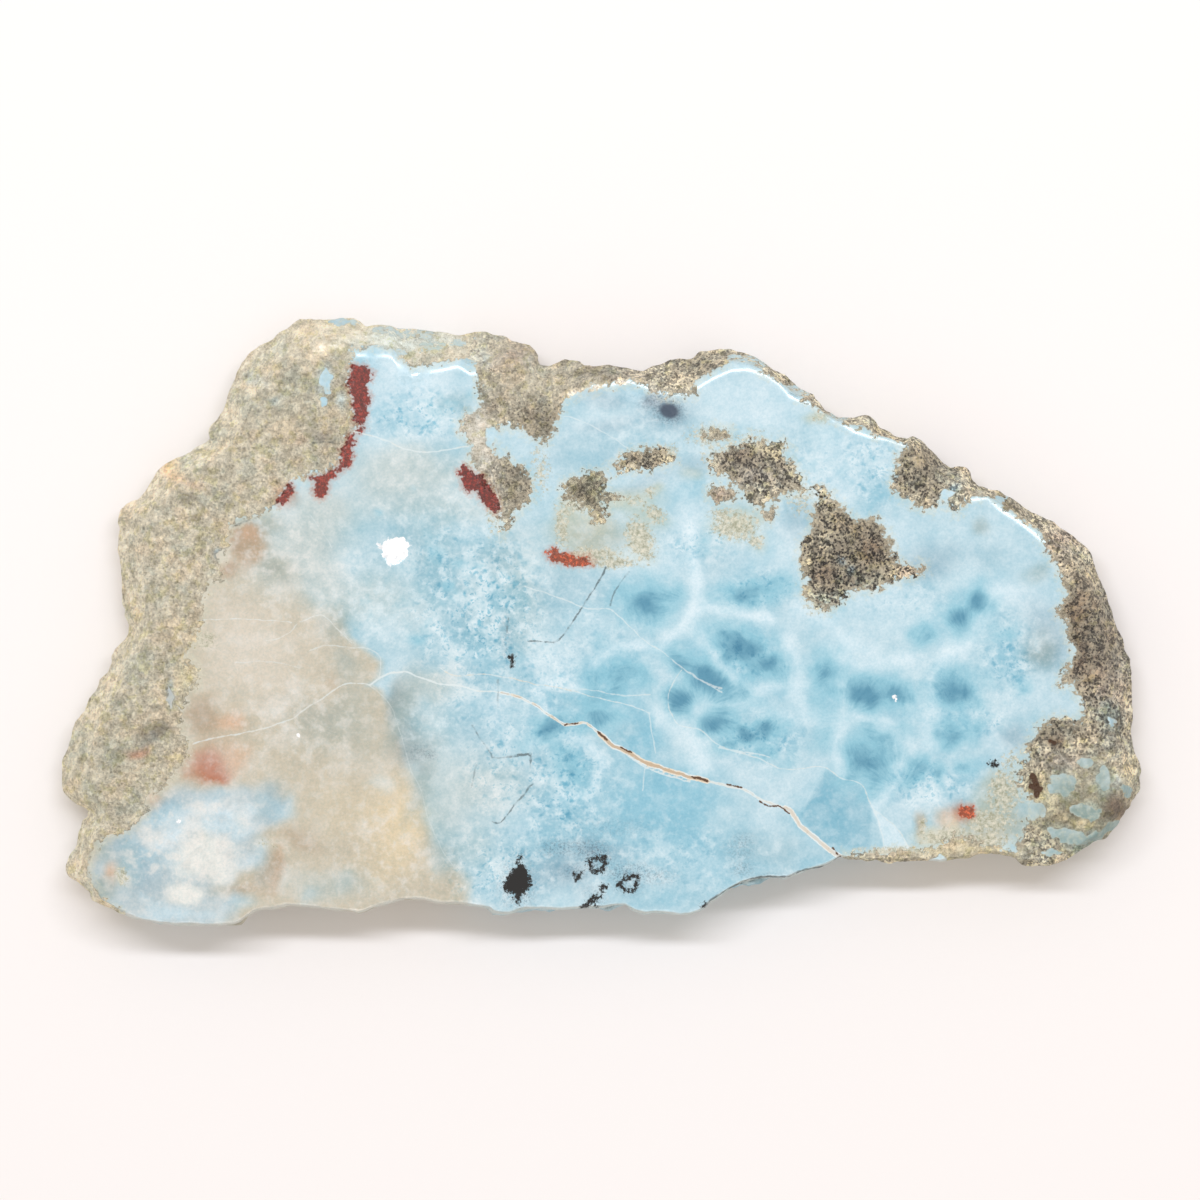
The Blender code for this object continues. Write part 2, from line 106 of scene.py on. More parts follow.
# The widest line of the stone, clockwise from the top left corner
OUTLINE = (
    (300, 319), (310, 318), (320, 320), (335, 319), (345, 318), (353, 318), (360, 321),
    (366, 327), (372, 326), (380, 325), (390, 326), (397, 329), (410, 328), (425, 330),
    (438, 332), (448, 333), (458, 336), (465, 334), (473, 332), (485, 332), (495, 334),
    (505, 337), (512, 341), (520, 344), (530, 345), (535, 349), (538, 355), (538, 362),
    (541, 366), (550, 366), (558, 364), (565, 361), (572, 361), (580, 362), (584, 365),
    (592, 366), (600, 365), (607, 364), (613, 366), (622, 368), (632, 370), (643, 371),
    (648, 369), (655, 365), (665, 361), (675, 359), (687, 359), (695, 357), (703, 352),
    (712, 350), (722, 349), (730, 349), (738, 352), (747, 355), (757, 359), (765, 363),
    (772, 368), (780, 374), (787, 380), (793, 385), (800, 390), (808, 392), (813, 395),
    (815, 400), (820, 404), (825, 410), (838, 417), (855, 417), (865, 415), (870, 416),
    (875, 421), (878, 427), (885, 431), (895, 435), (903, 437), (908, 438), (913, 436),
    (920, 439), (925, 444), (931, 450), (940, 459), (946, 463), (951, 468), (957, 467),
    (963, 468), (970, 473), (973, 480), (978, 487), (983, 488), (993, 490), (1000, 491),
    (1008, 497), (1015, 502), (1025, 508), (1035, 514), (1045, 519), (1053, 522),
    (1060, 528), (1070, 534), (1080, 541), (1086, 546), (1090, 553), (1093, 562),
    (1098, 573), (1101, 583), (1105, 592), (1108, 600), (1111, 608), (1113, 617),
    (1118, 629), (1122, 638), (1124, 648), (1130, 659), (1131, 670), (1132, 685),
    (1131, 700), (1132, 715), (1131, 730), (1132, 740), (1134, 748), (1136, 755),
    (1139, 762), (1141, 770), (1139, 778), (1139, 788), (1136, 796), (1131, 804),
    (1125, 812), (1120, 820), (1117, 826), (1112, 832), (1105, 838), (1095, 842),
    (1085, 848), (1078, 852), (1070, 857), (1062, 862), (1055, 864), (1045, 865),
    (1035, 862), (1020, 860), (1010, 857), (1000, 854), (990, 852), (980, 853),
    (970, 857), (960, 859), (950, 860), (940, 862), (932, 861), (918, 860), (905, 861),
    (890, 861), (870, 860), (855, 860), (840, 857), (835, 861), (825, 866), (815, 869),
    (805, 872), (795, 875), (785, 879), (770, 878), (760, 879), (750, 881), (742, 883),
    (733, 888), (722, 895), (712, 902), (705, 908), (700, 912), (690, 915), (680, 916),
    (670, 914), (655, 913), (645, 914), (636, 912), (630, 909), (625, 906), (615, 906),
    (603, 908), (590, 908), (575, 909), (560, 910), (540, 909), (525, 909), (517, 911),
    (510, 914), (500, 914), (493, 912), (490, 909), (478, 907), (465, 905), (455, 904),
    (441, 904), (432, 902), (420, 900), (410, 900), (400, 901), (390, 903), (380, 906),
    (372, 909), (365, 912), (358, 914), (350, 912), (340, 911), (325, 910), (315, 908),
    (300, 907), (290, 906), (281, 907), (272, 909), (262, 910), (255, 912), (248, 917),
    (240, 923), (235, 925), (225, 925), (215, 926), (205, 926), (190, 925), (175, 925),
    (160, 924), (150, 922), (143, 921), (134, 918), (125, 914), (115, 911), (107, 907),
    (100, 904), (92, 900), (90, 893), (85, 888), (79, 882), (73, 880), (68, 877),
    (67, 870), (67, 865), (69, 858), (72, 853), (76, 845), (78, 838), (79, 831), (81, 825),
    (84, 820), (88, 816), (89, 810), (84, 807), (78, 804), (71, 800), (66, 794), (63, 787),
    (61, 779), (61, 770), (61, 763), (64, 755), (68, 748), (70, 740), (72, 731), (75, 724),
    (80, 718), (85, 711), (87, 704), (89, 698), (95, 691), (98, 685), (100, 679),
    (104, 676), (108, 672), (111, 664), (112, 657), (115, 650), (120, 645), (125, 640),
    (129, 633), (129, 625), (125, 616), (126, 610), (124, 600), (122, 585), (121, 570),
    (119, 557), (117, 549), (119, 540), (120, 530), (118, 523), (118, 517), (121, 510),
    (128, 505), (137, 500), (144, 494), (149, 487), (152, 480), (155, 474), (160, 468),
    (165, 464), (172, 460), (180, 457), (190, 452), (198, 447), (205, 443), (210, 439),
    (209, 433), (216, 422), (222, 411), (227, 399), (231, 388), (234, 380), (236, 374),
    (238, 369), (243, 361), (250, 353), (258, 346), (268, 342), (274, 339), (280, 333),
    (290, 326),
)

# The sides of the stone: where each starts on the outline, the height of the widest line
# and how far the back lies inside it in mm, and the edge of the flat face. The face
# reaches the outline along the lower edge, which therefore has none.
SIDES = (
    ("crown", (300, 319), 4.6, 2.0,
     ((303, 367), (318, 351), (332, 351), (345, 357), (358, 361), (373, 360), (392, 362),
      (398, 371), (412, 381), (428, 378), (446, 375))),
    ("notch", (448, 333), 4.8, 2.0,
     ((446, 375), (458, 372), (470, 380), (486, 376), (500, 372), (516, 376), (530, 388),
      (545, 398), (560, 403), (573, 400), (584, 394))),
    ("saddle", (580, 362), 5.5, 1.8,
     ((584, 394), (592, 391), (612, 390), (632, 387), (645, 392), (660, 398), (676, 400),
      (690, 399))),
    ("hump", (687, 359), 5.2, 2.0,
     ((690, 399), (702, 391), (713, 384), (730, 376), (746, 375), (764, 381), (776, 389),
      (786, 402), (800, 407), (812, 410))),
    ("upper right slope", (815, 400), 6.8, 1.8,
     ((812, 410), (825, 421), (836, 428), (850, 437), (866, 442), (885, 444), (903, 450))),
    ("right slope", (913, 436), 5.8, 2.0,
     ((903, 450), (908, 462), (918, 474), (932, 488), (950, 494), (966, 506), (985, 504),
      (995, 515))),
    ("right shoulder", (1000, 491), 5.5, 2.0,
     ((995, 515), (1010, 525), (1025, 537), (1040, 550), (1056, 563), (1068, 582),
      (1077, 598))),
    ("right side", (1101, 583), 5.0, 2.2,
     ((1077, 598), (1086, 620), (1090, 645), (1093, 670), (1096, 700), (1098, 730),
      (1104, 755), (1110, 778))),
    ("lower right corner", (1141, 770), 4.8, 2.4,
     ((1110, 778), (1109, 795), (1103, 812), (1094, 824), (1082, 834), (1066, 845),
      (1051, 856))),
    ("lower edge", (1055, 864), 10.7, 4.2, None),
    ("lower left corner", (125, 914), 10.4, 4.2,
     ((126, 908), (118, 902), (112, 896), (108, 888), (104, 880), (101, 870))),
    ("left foot", (67, 870), 5.2, 2.4,
     ((101, 870), (103, 855), (109, 838), (116, 825), (119, 814), (113, 802), (106, 788),
      (103, 770))),
    ("left slope", (61, 770), 4.6, 2.2,
     ((103, 770), (107, 750), (115, 725), (126, 703), (134, 688), (141, 676), (148, 662),
      (156, 648), (163, 628))),
    ("left waist", (129, 633), 4.4, 2.0,
     ((163, 628), (163, 618), (159, 590), (158, 570), (157, 552), (158, 538), (163, 520))),
    ("left shoulder", (118, 517), 4.4, 2.0,
     ((163, 520), (172, 507), (184, 494), (196, 482), (208, 474), (222, 465), (236, 457),
      (247, 448), (250, 443))),
    ("upper left slope", (209, 433), 4.6, 2.2,
     ((250, 443), (256, 432), (264, 412), (272, 395), (278, 384), (286, 374), (293, 370),
      (299, 368), (303, 367))),
)

# The matrix rock in the face: a depth in mm, how dark its specks are, and its outline.
# Those at the rim are closed outside the stone.
MATRIX = (
    ("left matrix", 0.25, 0.3,
     ((352, 367), (348, 385), (350, 405), (355, 425), (345, 438), (343, 455), (335, 465),
      (320, 473), (300, 478), (290, 482), (280, 495), (275, 505), (262, 512), (250, 517),
      (240, 520), (232, 527), (225, 545), (222, 560), (218, 570), (220, 580), (208, 583),
      (205, 592), (200, 600), (205, 607), (200, 620), (197, 630), (195, 640), (190, 650),
      (185, 660), (192, 662), (197, 672), (199, 680), (195, 687), (188, 692), (183, 700),
      (180, 712), (182, 722), (178, 730), (188, 740), (190, 748), (186, 757), (180, 765),
      (170, 778), (160, 785), (150, 790), (147, 800), (148, 812), (140, 818), (130, 825),
      (122, 833), (112, 835), (100, 838), (92, 850), (87, 860), (85, 875), (88, 885),
      (92, 895), (100, 903), (40, 940), (20, 760), (60, 480), (200, 380), (260, 300),
      (352, 300))),
    ("drip", 0.15, 0.6,
     ((478, 382), (480, 395), (483, 402), (475, 410), (465, 415), (461, 424), (462, 433),
      (470, 437), (472, 447), (470, 455), (472, 465), (478, 475), (490, 490), (497, 500),
      (500, 518), (503, 535), (512, 520), (520, 505), (530, 500), (533, 490), (530, 478),
      (522, 468), (512, 462), (508, 455), (500, 460), (495, 450), (492, 440), (488, 430),
      (500, 426), (515, 426), (525, 433), (535, 437), (545, 443), (552, 435), (555, 425),
      (558, 415), (562, 405), (565, 398), (574, 396), (582, 390), (600, 340), (470, 320))),
    ("olive patch", 0.1, 0.7,
     ((563, 483), (570, 480), (580, 478), (585, 471), (605, 473), (607, 480), (603, 490),
      (615, 495), (620, 500), (610, 503), (600, 505), (605, 515), (606, 522), (598, 527),
      (592, 522), (590, 512), (583, 507), (575, 500), (568, 502), (563, 495))),
    ("tan streak", 0.1, 0.9,
     ((614, 465), (620, 457), (630, 452), (642, 450), (652, 447), (665, 450), (672, 455),
      (676, 460), (665, 465), (652, 467), (640, 470), (628, 472), (618, 470))),
    ("cluster", 0.12, 0.9,
     ((722, 455), (730, 448), (742, 448), (750, 435), (757, 443), (765, 442), (775, 445),
      (785, 440), (787, 448), (783, 455), (792, 460), (795, 470), (802, 476), (800, 483),
      (808, 490), (790, 492), (780, 497), (772, 503), (762, 508), (755, 505), (748, 497),
      (740, 490), (735, 482), (725, 475), (712, 470), (708, 460), (713, 455))),
    ("cluster's upper islet", 0.15, 0.5,
     ((702, 437), (706, 430), (716, 428), (731, 431), (729, 438), (715, 442), (706, 441))),
    ("cluster's lower islet", 0.15, 0.6,
     ((709, 492), (714, 487), (727, 487), (735, 492), (734, 500), (722, 503), (711, 500))),
    ("cluster's tip", 0.15, 0.5,
     ((763, 514), (768, 508), (775, 508), (773, 515), (768, 521), (763, 519))),
    ("grey island", 0.18, 1.0,
     ((815, 487), (822, 488), (828, 495), (838, 503), (845, 512), (850, 518), (860, 520),
      (878, 520), (885, 530), (890, 540), (893, 550), (897, 560), (907, 565), (925, 567),
      (920, 573), (908, 578), (895, 580), (880, 588), (865, 590), (850, 592), (842, 600),
      (828, 610), (820, 610), (812, 603), (805, 595), (803, 588), (808, 580), (803, 572),
      (800, 562), (801, 550), (805, 540), (810, 530), (812, 520), (815, 510), (818, 500))),
    ("edge patch", 0.18, 0.9,
     ((905, 447), (898, 455), (895, 465), (897, 475), (892, 482), (892, 490), (900, 495),
      (910, 500), (918, 507), (925, 512), (933, 508), (940, 500), (948, 505), (955, 512),
      (962, 508), (965, 500), (985, 497), (990, 440), (905, 420))),
    ("right matrix", 0.25, 0.9,
     ((1045, 545), (1050, 555), (1057, 568), (1062, 578), (1066, 588), (1070, 598),
      (1060, 605), (1058, 612), (1066, 622), (1068, 640), (1075, 650), (1072, 662),
      (1062, 675), (1060, 686), (1068, 682), (1075, 686), (1080, 697), (1083, 710),
      (1083, 718), (1075, 722), (1062, 717), (1050, 718), (1042, 726), (1035, 734),
      (1030, 743), (1024, 750), (1030, 757), (1025, 765), (1018, 772), (1020, 785),
      (1026, 793), (1036, 800), (1034, 815), (1024, 830), (1018, 845), (1014, 870),
      (1080, 880), (1170, 820), (1170, 600), (1090, 500), (1030, 500))),
    ("saddle band", 0.0, 0.55,
     ((556, 398), (566, 396), (578, 393), (590, 389), (604, 386), (620, 384), (634, 382),
      (646, 388), (658, 393), (670, 396), (684, 396), (694, 394), (700, 340), (556, 340))),
    ("lower band", 0.1, 0.4,
     ((1020, 854), (1004, 848), (985, 846), (972, 838), (955, 834), (944, 842), (930, 848),
      (915, 851), (890, 853), (860, 855), (845, 856), (840, 870), (940, 880), (1030, 875))),
)

# Iron stains: how bright, from dark red to orange, then the outline
STAINS = (
    (0.1, ((350, 370), (353, 366), (358, 364), (363, 367), (368, 366), (372, 372), (371, 379),
           (365, 384), (368, 392), (371, 397), (369, 402), (365, 406), (368, 413), (366, 420),
           (364, 427), (359, 425), (354, 420), (356, 412), (352, 405), (354, 397), (350, 391),
           (347, 384), (349, 377))),
    (0.3, ((366, 426), (361, 431), (356, 434), (354, 442), (351, 448), (353, 457), (349, 466),
           (341, 470), (334, 476), (328, 480), (328, 490), (322, 498), (316, 496), (313, 489),
           (316, 482), (311, 478), (319, 476), (327, 474), (334, 469), (341, 464), (343, 456),
           (341, 451), (345, 446), (347, 438), (353, 433), (360, 427))),
    (0.25, ((293, 483), (292, 492), (287, 502), (280, 505), (277, 501), (283, 494),
            (288, 487))),
    (0.0, ((457, 472), (464, 466), (470, 469), (475, 474), (483, 476), (487, 483), (494, 491),
           (497, 499), (500, 507), (496, 513), (491, 510), (483, 504), (480, 497), (477, 491),
           (470, 493), (464, 488), (463, 481))),
    (0.9, ((546, 553), (553, 549), (561, 553), (569, 554), (578, 557), (590, 556), (592, 563),
           (581, 567), (568, 565), (556, 562), (549, 559))),
    (1.0, ((959, 811), (963, 806), (969, 805), (974, 810), (973, 817), (967, 819),
           (961, 817))),
)

# Tones of the blue stone, as they look in the photograph
TONES = {
    "white": (227, 243, 248),
    "ice": (208, 230, 237),
    "sky": (190, 219, 228),
    "haze": (176, 207, 217),
    "blue": (147, 200, 217),
    "deep": (112, 170, 191),
    "ink blue": (84, 142, 168),
    "dusk": (70, 80, 92),
    "steel": (158, 186, 198),
    "mist": (200, 215, 214),
    "sea": (166, 198, 206),
    "sage": (164, 180, 176),
    "smoke": (140, 150, 148),
    "moss": (196, 200, 176),
    "beige": (208, 199, 178),
    "cream": (222, 213, 196),
    "gold": (232, 214, 180),
    "fog": (193, 209, 213),
    "pearl": (204, 213, 208),
    "lichen": (186, 190, 178),
    "tawny": (196, 170, 142),
    # The darkest tone here is used only as painted shade inside a hole in the rock
    "hole_shade": (44, 36, 30),
    "slate": (150, 164, 170),
    "jade": (198, 212, 198),
    "chalk": (240, 240, 232),
    "taupe": (186, 168, 144),
    "peach": (224, 184, 152),
    "rust": (190, 124, 98),
    "sand": (206, 195, 172),
    "clay": (190, 182, 160),
    "straw": (224, 208, 170),
    "ash": (152, 145, 132),
    "olive": (160, 156, 132),
    "umber": (128, 120, 106),
    "bark": (116, 100, 88),
    "rose": (176, 160, 146),
    "verdigris": (146, 164, 156),
}

# Broad fields of tone: the tone, how soft the edge is in pixels, strength and outline
FIELDS = (
    ("sea", 30, 0.15,
     ((352, 440), (480, 450), (560, 560), (640, 590), (600, 640), (520, 690), (440, 690),
      (380, 660), (330, 600), (310, 520))),
    ("beige", 7, 1.0,
     ((215, 515), (236, 524), (262, 534), (280, 550), (295, 566), (308, 584), (321, 600),
      (333, 611), (344, 628), (351, 643), (366, 648), (379, 656), (379, 676), (370, 685),
      (390, 705), (395, 720), (401, 735), (410, 768), (420, 787), (427, 815), (439, 843),
      (450, 862), (463, 877), (470, 897), (490, 912), (480, 960), (40, 960), (40, 780),
      (140, 600), (190, 520))),
    ("fog", 9, 0.95,
     ((128, 830), (150, 812), (162, 795), (190, 785), (230, 786), (262, 790), (285, 800),
      (288, 815), (276, 830), (262, 838), (268, 850), (262, 865), (240, 868), (236, 885),
      (246, 898), (240, 912), (215, 930), (90, 930), (88, 870), (104, 842))),
)

# Washes of tone on the blue stone: the tone, x, y, two radii, turn in degrees, strength
WASHES = (
    ("rust", 965, 812, 15, 12, 0, 0.7), ("white", 750, 400, 60, 24, 0, 0.7),
    ("white", 840, 470, 50, 26, 30, 0.4), ("white", 900, 610, 70, 34, 0, 0.4),
    ("white", 660, 560, 50, 20, 0, 0.4), ("white", 800, 560, 40, 26, 0, 0.3),
    ("mist", 400, 333, 90, 16, 0, 0.9), ("jade", 435, 350, 24, 8, 0, 0.7),
    ("blue", 480, 622, 30, 22, 0, 0.7), ("smoke", 408, 735, 18, 26, -15, 0.5),
    ("sage", 432, 800, 20, 60, 22, 0.45), 
    
    ("cream", 215, 690, 16, 30, 0, 0.4), ("sea", 518, 850, 26, 14, 0, 0.3),
    ("white", 500, 870, 14, 30, 0, 0.5), ("white", 560, 880, 20, 20, 0, 0.3),
    ("ice", 420, 400, 62, 26, 0, 0.9), ("mist", 400, 470, 60, 26, 0, 0.9),
    ("mist", 335, 520, 34, 30, 0, 0.7), ("sea", 425, 540, 50, 50, 20, 0.6),
    ("mist", 350, 600, 30, 26, 0, 0.7), ("mist", 285, 560, 46, 34, 0, 0.85),
    ("cream", 250, 645, 46, 46, 0, 0.9), ("cream", 270, 690, 60, 26, -20, 0.7),
    ("sage", 335, 625, 14, 26, -25, 0.5), ("sage", 345, 665, 18, 14, 0, 0.5),
    ("sage", 330, 730, 50, 26, -20, 0.35), ("gold", 400, 825, 32, 44, 0, 0.95),
    ("gold", 385, 865, 40, 26, 0, 0.4), ("gold", 350, 810, 40, 30, 0, 0.3),
    ("mist", 330, 885, 50, 18, 0, 0.5), ("haze", 345, 880, 12, 10, 0, 0.5),
    ("haze", 312, 892, 14, 8, 30, 0.5), ("taupe", 202, 718, 18, 24, 10, 1.0),
    ("peach", 228, 722, 16, 12, 10, 0.8), ("peach", 329, 682, 8, 6, 0, 0.2),
    ("peach", 230, 760, 22, 16, 0, 0.5), ("taupe", 300, 840, 20, 12, -25, 0.6),
    ("peach", 276, 872, 6, 22, -8, 0.6), ("taupe", 262, 890, 22, 10, 0, 0.3),
    ("peach", 152, 800, 7, 10, 20, 0.8), ("peach", 108, 876, 8, 14, -20, 0.9),
        ("sage", 405, 700, 16, 34, -15, 0.7), ("smoke", 418, 752, 24, 16, 25, 0.45),
    ("smoke", 428, 768, 12, 10, 0, 0.4), ("sky", 440, 700, 26, 20, 0, 0.8),
    ("mist", 445, 790, 30, 40, 0, 0.7), ("haze", 470, 745, 26, 34, 0, 0.6),
    ("mist", 500, 785, 34, 22, 0, 0.7), ("haze", 545, 770, 30, 26, 0, 0.7),
    ("mist", 470, 850, 30, 26, 0, 0.6), ("haze", 520, 850, 36, 26, 0, 0.4),
    ("chalk", 216, 862, 13, 26, 4, 0.9), ("chalk", 183, 895, 20, 11, 8, 1.0), ("chalk", 202, 852, 14, 14, 0, 0.9),
    ("chalk", 192, 858, 20, 16, 30, 0.7), ("white", 230, 806, 26, 12, 0, 0.7),
    ("sky", 215, 830, 40, 12, 10, 0.5), ("sky", 176, 862, 16, 16, 0, 0.6),
    ("sage", 238, 810, 6, 14, 0, 0.7), ("sage", 100, 892, 14, 12, 0, 0.8),
    ("sand", 270, 842, 16, 14, 0, 0.8), ("ice", 262, 846, 8, 10, 0, 0.6),
    ("ice", 286, 806, 10, 12, 0, 0.7), ("sky", 245, 905, 16, 8, 0, 0.6),
    ("moss", 122, 876, 8, 10, 0, 0.8), ("ice", 165, 915, 30, 6, 0, 0.7),
    ("steel", 160, 806, 18, 10, 20, 0.6), ("rust", 218, 776, 7, 5, 0, 0.9),
    ("rust", 200, 774, 16, 6, 0, 0.6),
    ("sky", 165, 818, 22, 12, 20, 0.5), ("steel", 140, 868, 16, 26, 20, 0.6),
    ("steel", 118, 850, 12, 12, 0, 0.4), ("beige", 226, 890, 20, 9, 0, 0.5),
    ("haze", 560, 590, 46, 22, 10, 0.7), ("mist", 600, 540, 44, 20, 0, 0.6),
    ("steel", 606, 396, 30, 10, 0, 0.6), ("steel", 610, 424, 34, 10, 10, 0.5),
    ("haze", 590, 455, 60, 22, 0, 0.6), ("steel", 640, 485, 34, 9, 20, 0.5),
    ("steel", 690, 462, 20, 12, 0, 0.4), ("haze", 650, 430, 30, 12, 0, 0.4),
    ("moss", 585, 532, 30, 24, 0, 0.7), ("moss", 640, 545, 14, 24, 20, 0.7),
    ("moss", 632, 500, 26, 14, 0, 0.6), ("moss", 650, 520, 20, 10, -20, 0.5),
    ("moss", 570, 515, 12, 34, 0, 0.5), ("moss", 620, 560, 24, 8, 0, 0.5),
    ("moss", 734, 525, 26, 16, 10, 0.75), ("moss", 690, 470, 12, 8, 0, 0.4),
    ("moss", 755, 545, 10, 10, 0, 0.5), ("moss", 655, 490, 8, 6, 0, 0.6),
    ("ice", 760, 400, 60, 22, 0, 0.8), ("ice", 860, 460, 50, 34, 30, 0.7),
    ("ice", 700, 560, 80, 30, 0, 0.5), ("blue", 830, 440, 20, 14, 0, 0.4),
    ("steel", 800, 520, 24, 24, 0, 0.5), ("haze", 690, 420, 34, 22, 0, 0.3),
    ("sky", 960, 550, 70, 34, 20, 0.4), ("haze", 985, 555, 22, 16, 0, 0.6),
    ("blue", 1010, 660, 34, 34, 0, 0.35), ("ice", 1020, 600, 30, 30, 0, 0.4), ("sage", 1040, 650, 16, 22, 0, 0.6),
    ("steel", 1055, 640, 16, 30, 0, 0.5), ("sage", 1038, 573, 14, 12, 0, 0.5),
    ("sage", 983, 526, 9, 8, 0, 0.6), ("steel", 1018, 736, 16, 12, -30, 0.7),
    ("ice", 1050, 700, 26, 14, 0, 0.5), ("moss", 1000, 795, 20, 22, 0, 0.6),
    ("sage", 1012, 822, 20, 16, 0, 0.8), ("moss", 990, 820, 26, 18, 0, 0.7),
    ("peach", 950, 822, 16, 14, -50, 0.7), ("taupe", 922, 826, 6, 12, -10, 0.8), ("gold", 935, 838, 22, 8, 0, 0.7),
    ("sand", 985, 838, 24, 9, 0, 0.8), ("gold", 955, 826, 12, 10, 0, 0.6),
    ("cream", 900, 851, 50, 5, 0, 0.6),
    ("moss", 820, 418, 12, 8, 0, 0.8), ("dusk", 670, 409, 11, 9, -20, 1.0),
    ("dusk", 656, 401, 8, 5, 20, 0.5), ("steel", 668, 412, 26, 20, 0, 0.5),
    ("blue", 660, 800, 60, 40, 10, 0.9), ("blue", 830, 812, 34, 40, 20, 0.8),
    ("blue", 640, 735, 30, 24, 30, 0.8), ("blue", 560, 850, 60, 30, 0, 0.5),
    ("blue", 700, 860, 80, 40, 0, 0.45), ("haze", 770, 855, 50, 20, 0, 0.5),
    ("ice", 570, 660, 40, 26, 10, 0.6), ("ice", 520, 700, 30, 18, 0, 0.4),
    ("blue", 650, 606, 34, 26, 0, 0.6), ("blue", 632, 666, 44, 22, 0, 0.5),
    ("blue", 715, 668, 44, 30, -30, 0.8), ("blue", 752, 652, 44, 32, -20, 0.7),
    ("blue", 716, 720, 26, 22, 0, 0.7), ("blue", 765, 735, 40, 26, 0, 0.6),
    ("blue", 745, 592, 46, 16, 8, 0.6), ("blue", 826, 690, 26, 40, 0, 0.6),
    ("blue", 882, 694, 44, 26, 0, 0.7), ("blue", 868, 756, 34, 36, 0, 0.75),
    ("blue", 953, 712, 26, 40, 0, 0.7), ("blue", 940, 630, 34, 18, 10, 0.5),
    ("blue", 975, 605, 26, 22, 0, 0.6), ("blue", 930, 772, 40, 18, 0, 0.6),
    ("blue", 600, 690, 44, 30, 0, 0.5), ("blue", 560, 730, 40, 16, 15, 0.6),
    ("deep", 646, 603, 20, 15, 0, 0.9), ("deep", 601, 638, 12, 10, 0, 0.35),
    ("deep", 622, 674, 26, 18, 0, 0.55), ("deep", 608, 695, 22, 9, 8, 0.7),
    ("deep", 599, 720, 16, 8, 25, 0.8), ("deep", 551, 730, 20, 9, 20, 0.75),
    ("deep", 566, 756, 10, 8, 0, 0.7), ("deep", 573, 775, 16, 12, 0, 0.5),
    ("blue", 570, 770, 24, 30, 0, 0.6), ("deep", 705, 678, 30, 12, -30, 0.95),
    ("deep", 680, 699, 14, 14, 0, 0.8), ("deep", 742, 648, 26, 12, -25, 0.95),
    ("deep", 763, 662, 20, 11, -20, 0.85), ("deep", 718, 722, 14, 12, 0, 0.95),
    ("deep", 766, 727, 12, 8, 20, 0.9), ("deep", 745, 735, 12, 8, -20, 0.8),
    ("deep", 725, 746, 14, 7, 0, 0.6), ("deep", 770, 756, 20, 7, -10, 0.5),
    ("deep", 750, 593, 30, 9, 8, 0.75), ("deep", 770, 583, 14, 6, 30, 0.6),
    ("deep", 721, 600, 14, 8, 0, 0.5), ("deep", 700, 545, 14, 8, 20, 0.4),
    ("deep", 826, 674, 14, 18, 0, 0.7), ("deep", 822, 700, 18, 20, 0, 0.4),
    ("deep", 828, 740, 12, 30, 10, 0.4), ("deep", 866, 694, 18, 14, 0, 0.9),
    ("deep", 893, 694, 14, 12, 0, 0.85), ("deep", 953, 690, 20, 15, 0, 0.85),
    ("deep", 953, 734, 15, 12, 0, 0.75), ("deep", 907, 722, 14, 16, 0, 0.5),
    ("deep", 870, 758, 22, 24, 0, 0.8), ("deep", 915, 770, 9, 12, -30, 0.75),
    ("deep", 938, 774, 6, 7, 0, 0.6), ("deep", 964, 765, 9, 7, 0, 0.7),
    ("deep", 977, 599, 11, 11, 0, 0.85), ("deep", 958, 620, 15, 13, 0, 0.75),
    ("deep", 930, 634, 14, 10, 20, 0.6), ("deep", 1001, 633, 12, 6, 0, 0.5),
    ("deep", 1022, 688, 8, 8, 0, 0.45), ("deep", 978, 728, 5, 5, 0, 0.6),
    ("deep", 940, 715, 24, 10, -30, 0.3), ("blue", 880, 790, 24, 20, 0, 0.4),
    ("deep", 388, 411, 7, 6, 0, 0.4), ("deep", 424, 426, 13, 7, 0, 0.4),
    ("deep", 453, 407, 15, 12, 0, 0.35), ("deep", 476, 392, 9, 8, 0, 0.4),
    ("deep", 434, 548, 14, 20, 0, 0.45), ("deep", 459, 562, 9, 8, 0, 0.4),
    ("deep", 447, 586, 9, 7, 0, 0.4), ("deep", 415, 640, 14, 9, 0, 0.35),
    ("deep", 413, 487, 7, 6, 0, 0.3), ("deep", 380, 512, 7, 6, 0, 0.3),
    ("pearl", 300, 540, 46, 44, 0, 0.9),
    ("pearl", 325, 585, 26, 30, 0, 0.8), ("lichen", 266, 518, 20, 16, 0, 0.8),
    ("lichen", 281, 572, 24, 14, -20, 0.8), ("lichen", 330, 622, 12, 18, -25, 0.8),
    ("tawny", 246, 546, 15, 24, 0, 1.0), ("rust", 250, 532, 7, 8, 0, 0.45),
    ("tawny", 227, 570, 8, 8, 0, 0.9), ("rose", 290, 498, 12, 8, 0, 0.7),
    ("sage", 350, 700, 24, 30, -20, 0.3), ("smoke", 395, 700, 8, 24, -15, 0.5),
    ("sage", 262, 800, 20, 14, 0, 0.4), ("pearl", 430, 685, 26, 16, 0, 0.8),
    ("rust", 224, 572, 5, 7, 0, 0.6), ("pearl", 400, 500, 60, 24, 0, 0.5),
    ("pearl", 470, 505, 30, 20, 0, 0.5), ("haze", 480, 615, 36, 26, 0, 0.7),
    ("white", 590, 622, 26, 14, -20, 0.4), ("white", 540, 660, 40, 20, 0, 0.35),
    ("white", 1000, 590, 30, 18, 0, 0.4), ("lichen", 590, 535, 34, 24, 0, 0.55),
    ("white", 200, 812, 20, 6, 10, 0.5), ("white", 168, 838, 16, 6, 30, 0.5),
    ("white", 250, 860, 14, 8, 0, 0.5), ("haze", 222, 800, 16, 7, 0, 0.5),
    ("haze", 150, 850, 10, 22, 10, 0.6), ("white", 282, 880, 8, 14, 0, 0.3),
